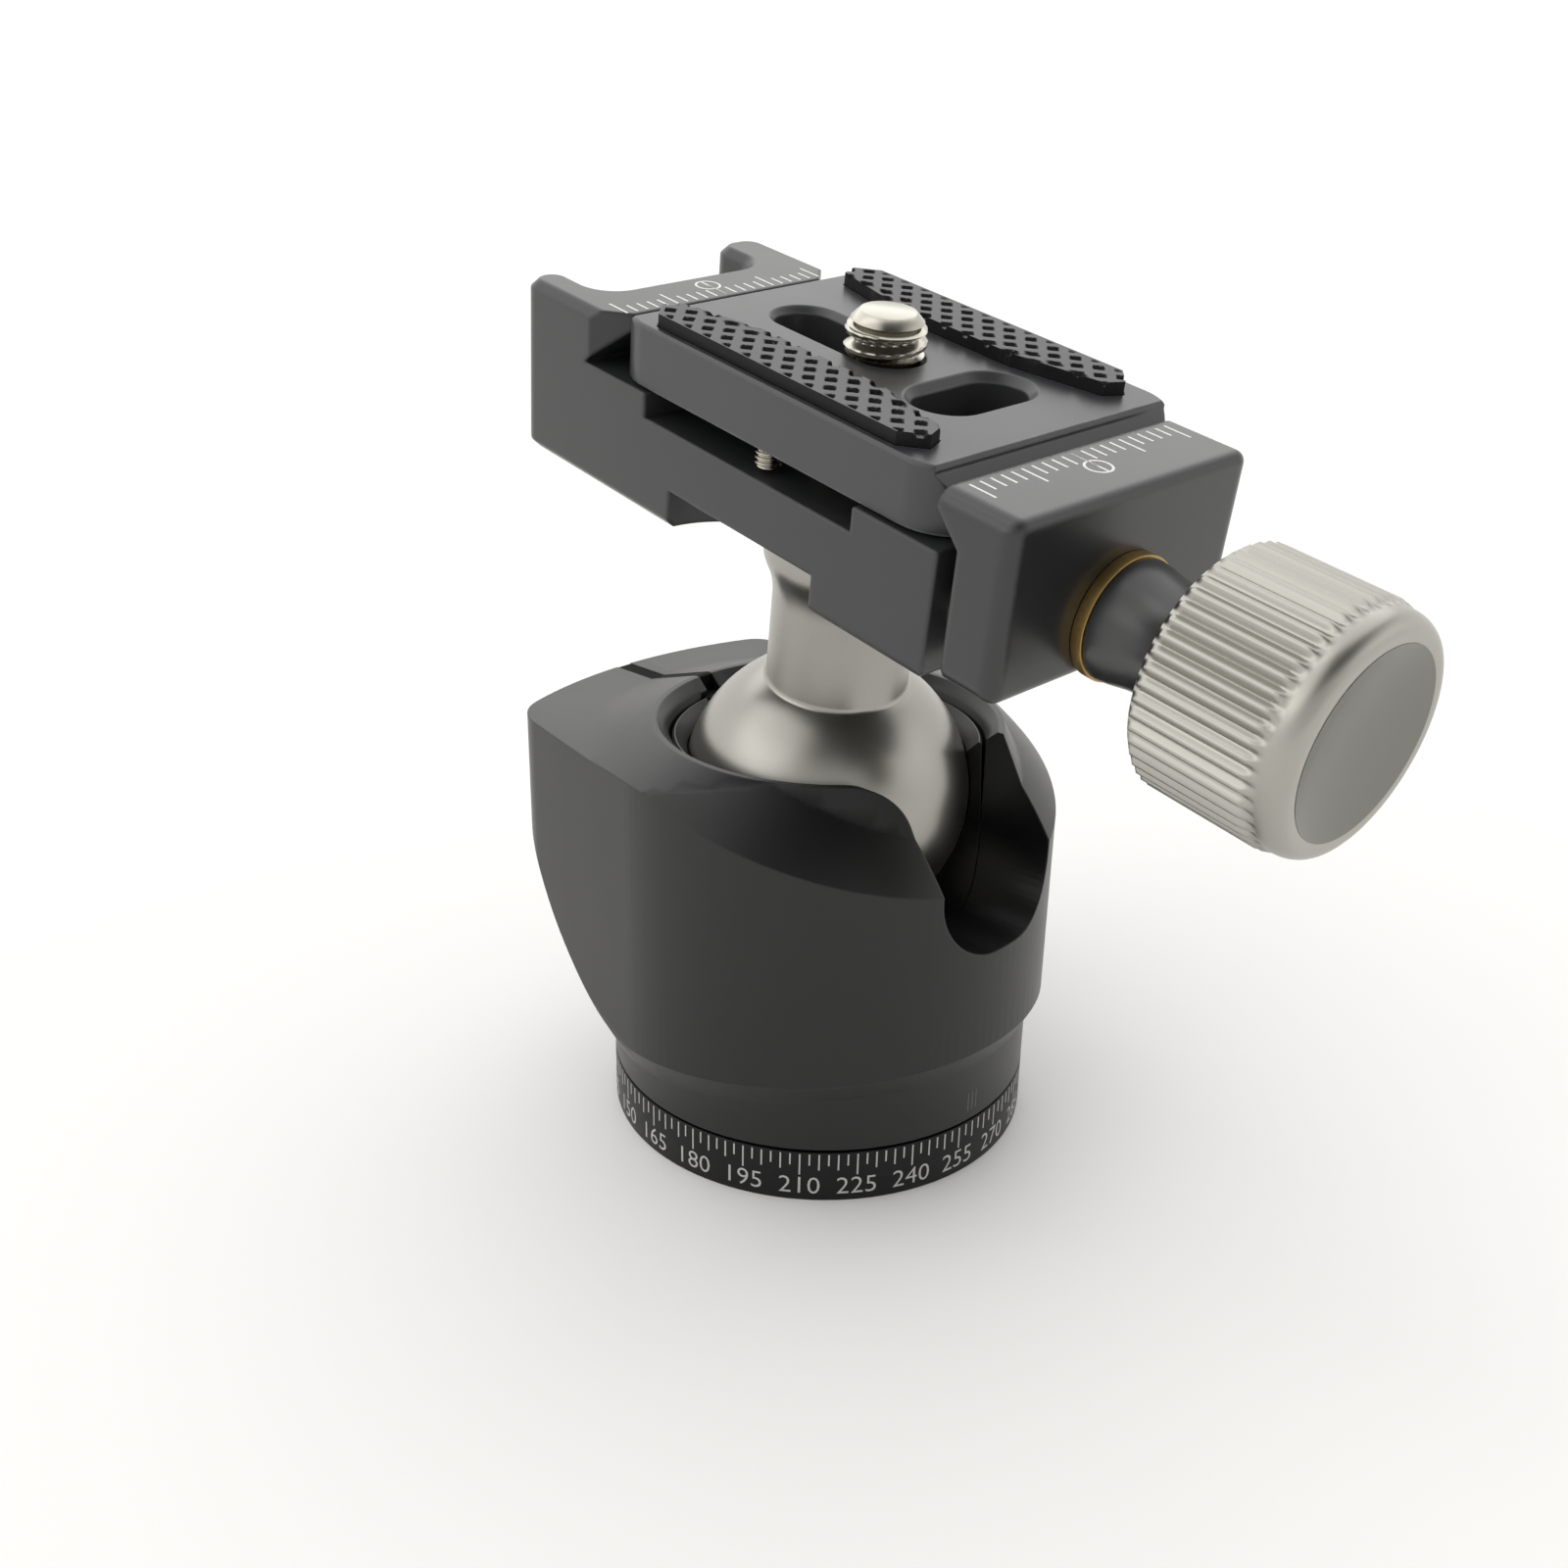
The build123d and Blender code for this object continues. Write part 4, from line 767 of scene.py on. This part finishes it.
def plate_pieces():
    """Plate, its rubber strips, and the two stop screws below it."""
    for way, side in ((-1, "front"), (1, "back")):
        values = {"Pitch": 1.63, "Ridge": 0.72, "Depth": 0.34, "Phase u": -12.55, "Phase v": -7.23,
                  "Material": FINISH["rubber_black"]}
        strip = smooth(grown("rubber_" + side, PITS, values, strip_mesh(way)), 40)
        put("rubber_" + side, strip, HEAD, "plate", "rubber_black", "grip_strip_" + side)
    dressed("camera_plate", "plate_body", "plate", "plate_black", 0.1)
    low, high, stop_r = 32.45, 36.45, 1.0
    outline = [(0, low + 0.9), (0.5, low + 0.9, 6), (0.5, low, 6), (stop_r - 0.2, low),
               (stop_r, low + 0.2), (stop_r, high), (0, high)]

    def relief(r, z):
        return float(r > stop_r - 0.05 and z < high - 0.05)

    stops = []
    for way in (-1, 1):
        stop = threaded("stop", outline, 0.4, 0.2, relief, "steel", 36)
        stop.transform(Matrix.Translation((0.8, PLATE_V + way * 11.1, 0)))
        stops.append(stop)
    put("stop_screws", smooth(joined("stop_screws", *stops), 50), HEAD, "plate", "steel",
        "plate_stop_screws")


def camera_screw_piece():
    """Screw with a flat head, a thin neck in the slot and a cone over its thread."""
    head_w, head_r = 34.46, 5.2
    neck_w, neck_r = head_w + 1.3, 2.4
    socket_w, socket_r = head_w + 1.2, 1.73
    top, thread_r = 42.42, 3.175
    outline = [(0, socket_w), (socket_r, socket_w, 6), (socket_r, head_w, 6), (head_r - 0.2, head_w),
               (head_r, head_w + 0.2), (head_r, neck_w - 0.2), (head_r - 0.2, neck_w),
               (neck_r, neck_w), (neck_r, 38.92), (thread_r, 39.32), (thread_r, top - 1.2),
               (2.5, top - 0.9), (2.5, top - 0.8), (2.82, top - 0.7), (2.2, top - 0.04), (2.08, top),
               (0, top)]

    def relief(r, z):
        return float(r > 3.1 and 39.2 < z < top - 1.15)

    screw = threaded("camera_screw_threaded", outline, 1.27, 0.74, relief, "steel", 96, 30)
    place = HEAD @ Matrix.Translation((0.5, 0.9, 0))
    put("camera_screw_threaded", screw, place, "screw", "steel", "camera_screw")


# ---------------------------------------------------------------- clamp
def mark_ring(u, v, radius, width, top):
    """Flat ring of print."""
    inner, outer = radius - width / 2, radius + width / 2
    ring = lathe([(inner, top - 0.03), (outer, top - 0.03), (outer, top), (inner, top)], 48)
    ring.transform(Matrix.Translation((u, v, 0)))
    return ring


def jaw_scale(name, inner_u, outward, body):
    """Millimetre marks on one jaw, with the centre sign beside the middle one."""
    top = 38.515
    line_w = 0.19
    values = {"Count": 21, "Pitch": 1.0, "Step": 0.0, "Radius": 0.0, "Width": line_w, "Thickness": 0.03,
              "Short": 1.5, "Medium": 1.5, "Long": 2.45, "Medium every": 5, "Long every": 5,
              "Material": FINISH["plastic_white"]}
    marks = grown(name, GRADUATION, values)
    line = grown(name + "_line", GRADUATION, dict(values, Count=1, Long=3.5))
    for mesh, first_v in ((marks, -10), (line, 0)):
        mesh.transform(facing((inner_u, first_v, top - 0.015), (-outward, 0, 0), (0, 0, outward)))
    sign = mark_ring(inner_u + outward * 2.5, 0, 1.0, line_w, top)
    put(name, joined(name, marks, line, sign), HEAD, body, "plastic_white")


def clamp_pieces():
    """Clamp body and moving jaw, each with its scale."""
    dressed("clamp_base", "clamp_body", "clamp", "clamp_black", 0.12)
    dressed("moving_jaw", "jaw_body", "jaw", "clamp_black", 0.12, material="jaw_black")
    jaw_scale("fixed_jaw_marks", -17.35, -1, "clamp")
    jaw_scale("moving_jaw_marks", 20.47, 1, "jaw")


# ---------------------------------------------------------------- housing
def housing_pieces():
    """Split housing with its index lines, and the rubber and the cup that show in it."""
    dressed("ball_housing", "housing_shell", "housing", "housing_black", 0.0, 13.0)
    lines = grown("collar_lines", GRADUATION,
                  {"Count": 3, "Pitch": 0.0, "Step": radians(1.5), "Start": radians(INDEX_DIR),
                   "Radius": RING_MARK_R, "Width": 0.16, "Thickness": 0.04, "Short": 1.8,
                   "Medium": 1.8, "Long": 1.8, "Medium every": 1, "Long every": 1,
                   "Material": FINISH["faint_white"]})
    put("collar_lines", lines, further(WORLD, 7.8), "housing", "plastic_white", material="faint_white")

    def raised(spot):
        """The rubber stands a little higher in its slit."""
        return spot + Vector((0, 0, 0.18))

    def drawn_in(spot):
        """The cup's top rim is a little narrower."""
        rim = spot.z > 34.8 and spot.xy.length > 13.3
        return Vector((spot.x * 0.98, spot.y * 0.98, spot.z)) if rim else spot

    dressed("slit_seal", "slit_rubber", "housing", "rubber_black", 0.08, material="seal_rubber",
            moved=raised)
    dressed("ball_liner", "socket_liner", "housing", "plastic_black", 0.06, moved=drawn_in)


# ---------------------------------------------------------------- build
SOLID_FINISHES = {               # solids that keep their own shape
    "pan_friction_washer": "plastic_white", "pan_retaining_plate": "steel",
    "pan_retaining_screws": "steel", "ball_seat": "plastic_black", "main_thrust_washer": "brass",
    "main_lock_screw": "steel", "pan_lock_shoe": "brass", "pan_lock_screw": "steel",
    "clamp_mount_screw": "steel", "jaw_springs": "steel", "guide_pins": "steel",
    "camera_screw_washer": "plastic_white"}

base_pieces()
knob_pieces()
ball_piece()
plate_pieces()
camera_screw_piece()
clamp_pieces()
housing_pieces()

for node, finish_name in SOLID_FINISHES.items():
    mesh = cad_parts[node].data
    mesh.materials.clear()
    mesh.materials.append(FINISH[finish_name])


# ---------------------------------------------------------------- floor, light and camera
PAPER = (0.93, 0.925, 0.915, 1)
SKY = (1.0, 0.992, 0.972, 1)
BRIGHT_PANELS = (
    # direction, how near to it the panel starts, gain
    ((-0.63, -0.23, 0.74), 0.78, 1.1),
    ((0.85, -0.1, 0.5), 0.85, 0.25))


def studio():
    """Pale floor under a soft sky: bright walls, a darker ceiling, two bright panels and a wide window."""
    floor_mesh = bpy.data.meshes.new("floor")
    size = 4.0
    floor_mesh.from_pydata([(-size, -size, 0), (size, -size, 0), (size, size, 0), (-size, size, 0)], [],
                           [(0, 1, 2, 3)])
    floor = new_object("floor", floor_mesh)
    paper = bpy.data.materials.new("white_paper")
    paper.use_nodes = True
    shader = paper.node_tree.nodes["Principled BSDF"]
    shader.inputs["Base Color"].default_value = PAPER
    shader.inputs["Roughness"].default_value = 0.75
    floor_mesh.materials.append(paper)

    world = bpy.data.worlds.new("studio")
    scene.world = world
    world.use_nodes = True
    w = Wiring(world.node_tree)
    sky = world.node_tree.nodes["Background"]
    sky.inputs["Color"].default_value = SKY
    x, y, z = w.add("ShaderNodeSeparateXYZ",
                    {0: w.add("ShaderNodeTexCoord").outputs["Generated"]}).outputs
    sides = w.math("MULTIPLY", x, w.math("ADD", w.math("MULTIPLY", x, 0.2), -0.1))
    walls = w.math("ADD", w.math("ADD", w.math("MULTIPLY", y, 0.2), sides), 0.93)
    ceiling = w.math("ADD", w.math("MULTIPLY", y, 0.5), 0.28)
    share = w.ramp(z, 0.45, 0.85, smooth=True)
    level = w.math("ADD", w.math("MULTIPLY", walls, w.math("SUBTRACT", 1.0, share)),
                   w.math("MULTIPLY", ceiling, share))
    for (out_x, out_y, out_z), near, gain in BRIGHT_PANELS:
        towards = w.math("ADD", w.math("MULTIPLY", x, out_x), w.math("MULTIPLY", y, out_y))
        towards = w.math("ADD", towards, w.math("MULTIPLY", z, out_z))
        panel = w.ramp(towards, near, 0.96, 0.0, gain, smooth=True)
        level = w.math("ADD", level, panel)
    w.feed(sky.inputs["Strength"], level)

    window = bpy.data.lights.new("window", "SUN")
    window.energy = 1.2
    window.angle = radians(80)
    lamp = new_object("window", window)
    lamp.rotation_euler = Vector((0.1, -1.0, -1.7)).to_track_quat("-Z", "Y").to_euler()
    scene.view_settings.view_transform = "Standard"


CAMERA_AT = (0, -0.142613, 0.09283)
LENS = 40.796


def camera():
    """Camera that looks down on the part, turned and rolled a little."""
    pitch, yaw, roll = radians(23.7), radians(-1.458), radians(1.0956)
    forward = Vector((sin(yaw) * cos(pitch), cos(yaw) * cos(pitch), -sin(pitch)))
    right = forward.cross(Vector((0, 0, 1))).normalized()
    up = right.cross(forward)
    turned_right = right * cos(roll) + up * sin(roll)
    turned_up = up * cos(roll) - right * sin(roll)
    lens = bpy.data.cameras.new("camera")
    lens.sensor_width = 36.0
    lens.lens = LENS
    lens.clip_start = 0.01
    view = new_object("camera", lens)
    turn = Matrix((turned_right, turned_up, -forward)).transposed().to_4x4()
    view.matrix_world = Matrix.Translation(CAMERA_AT) @ turn
    scene.camera = view


studio()
camera()
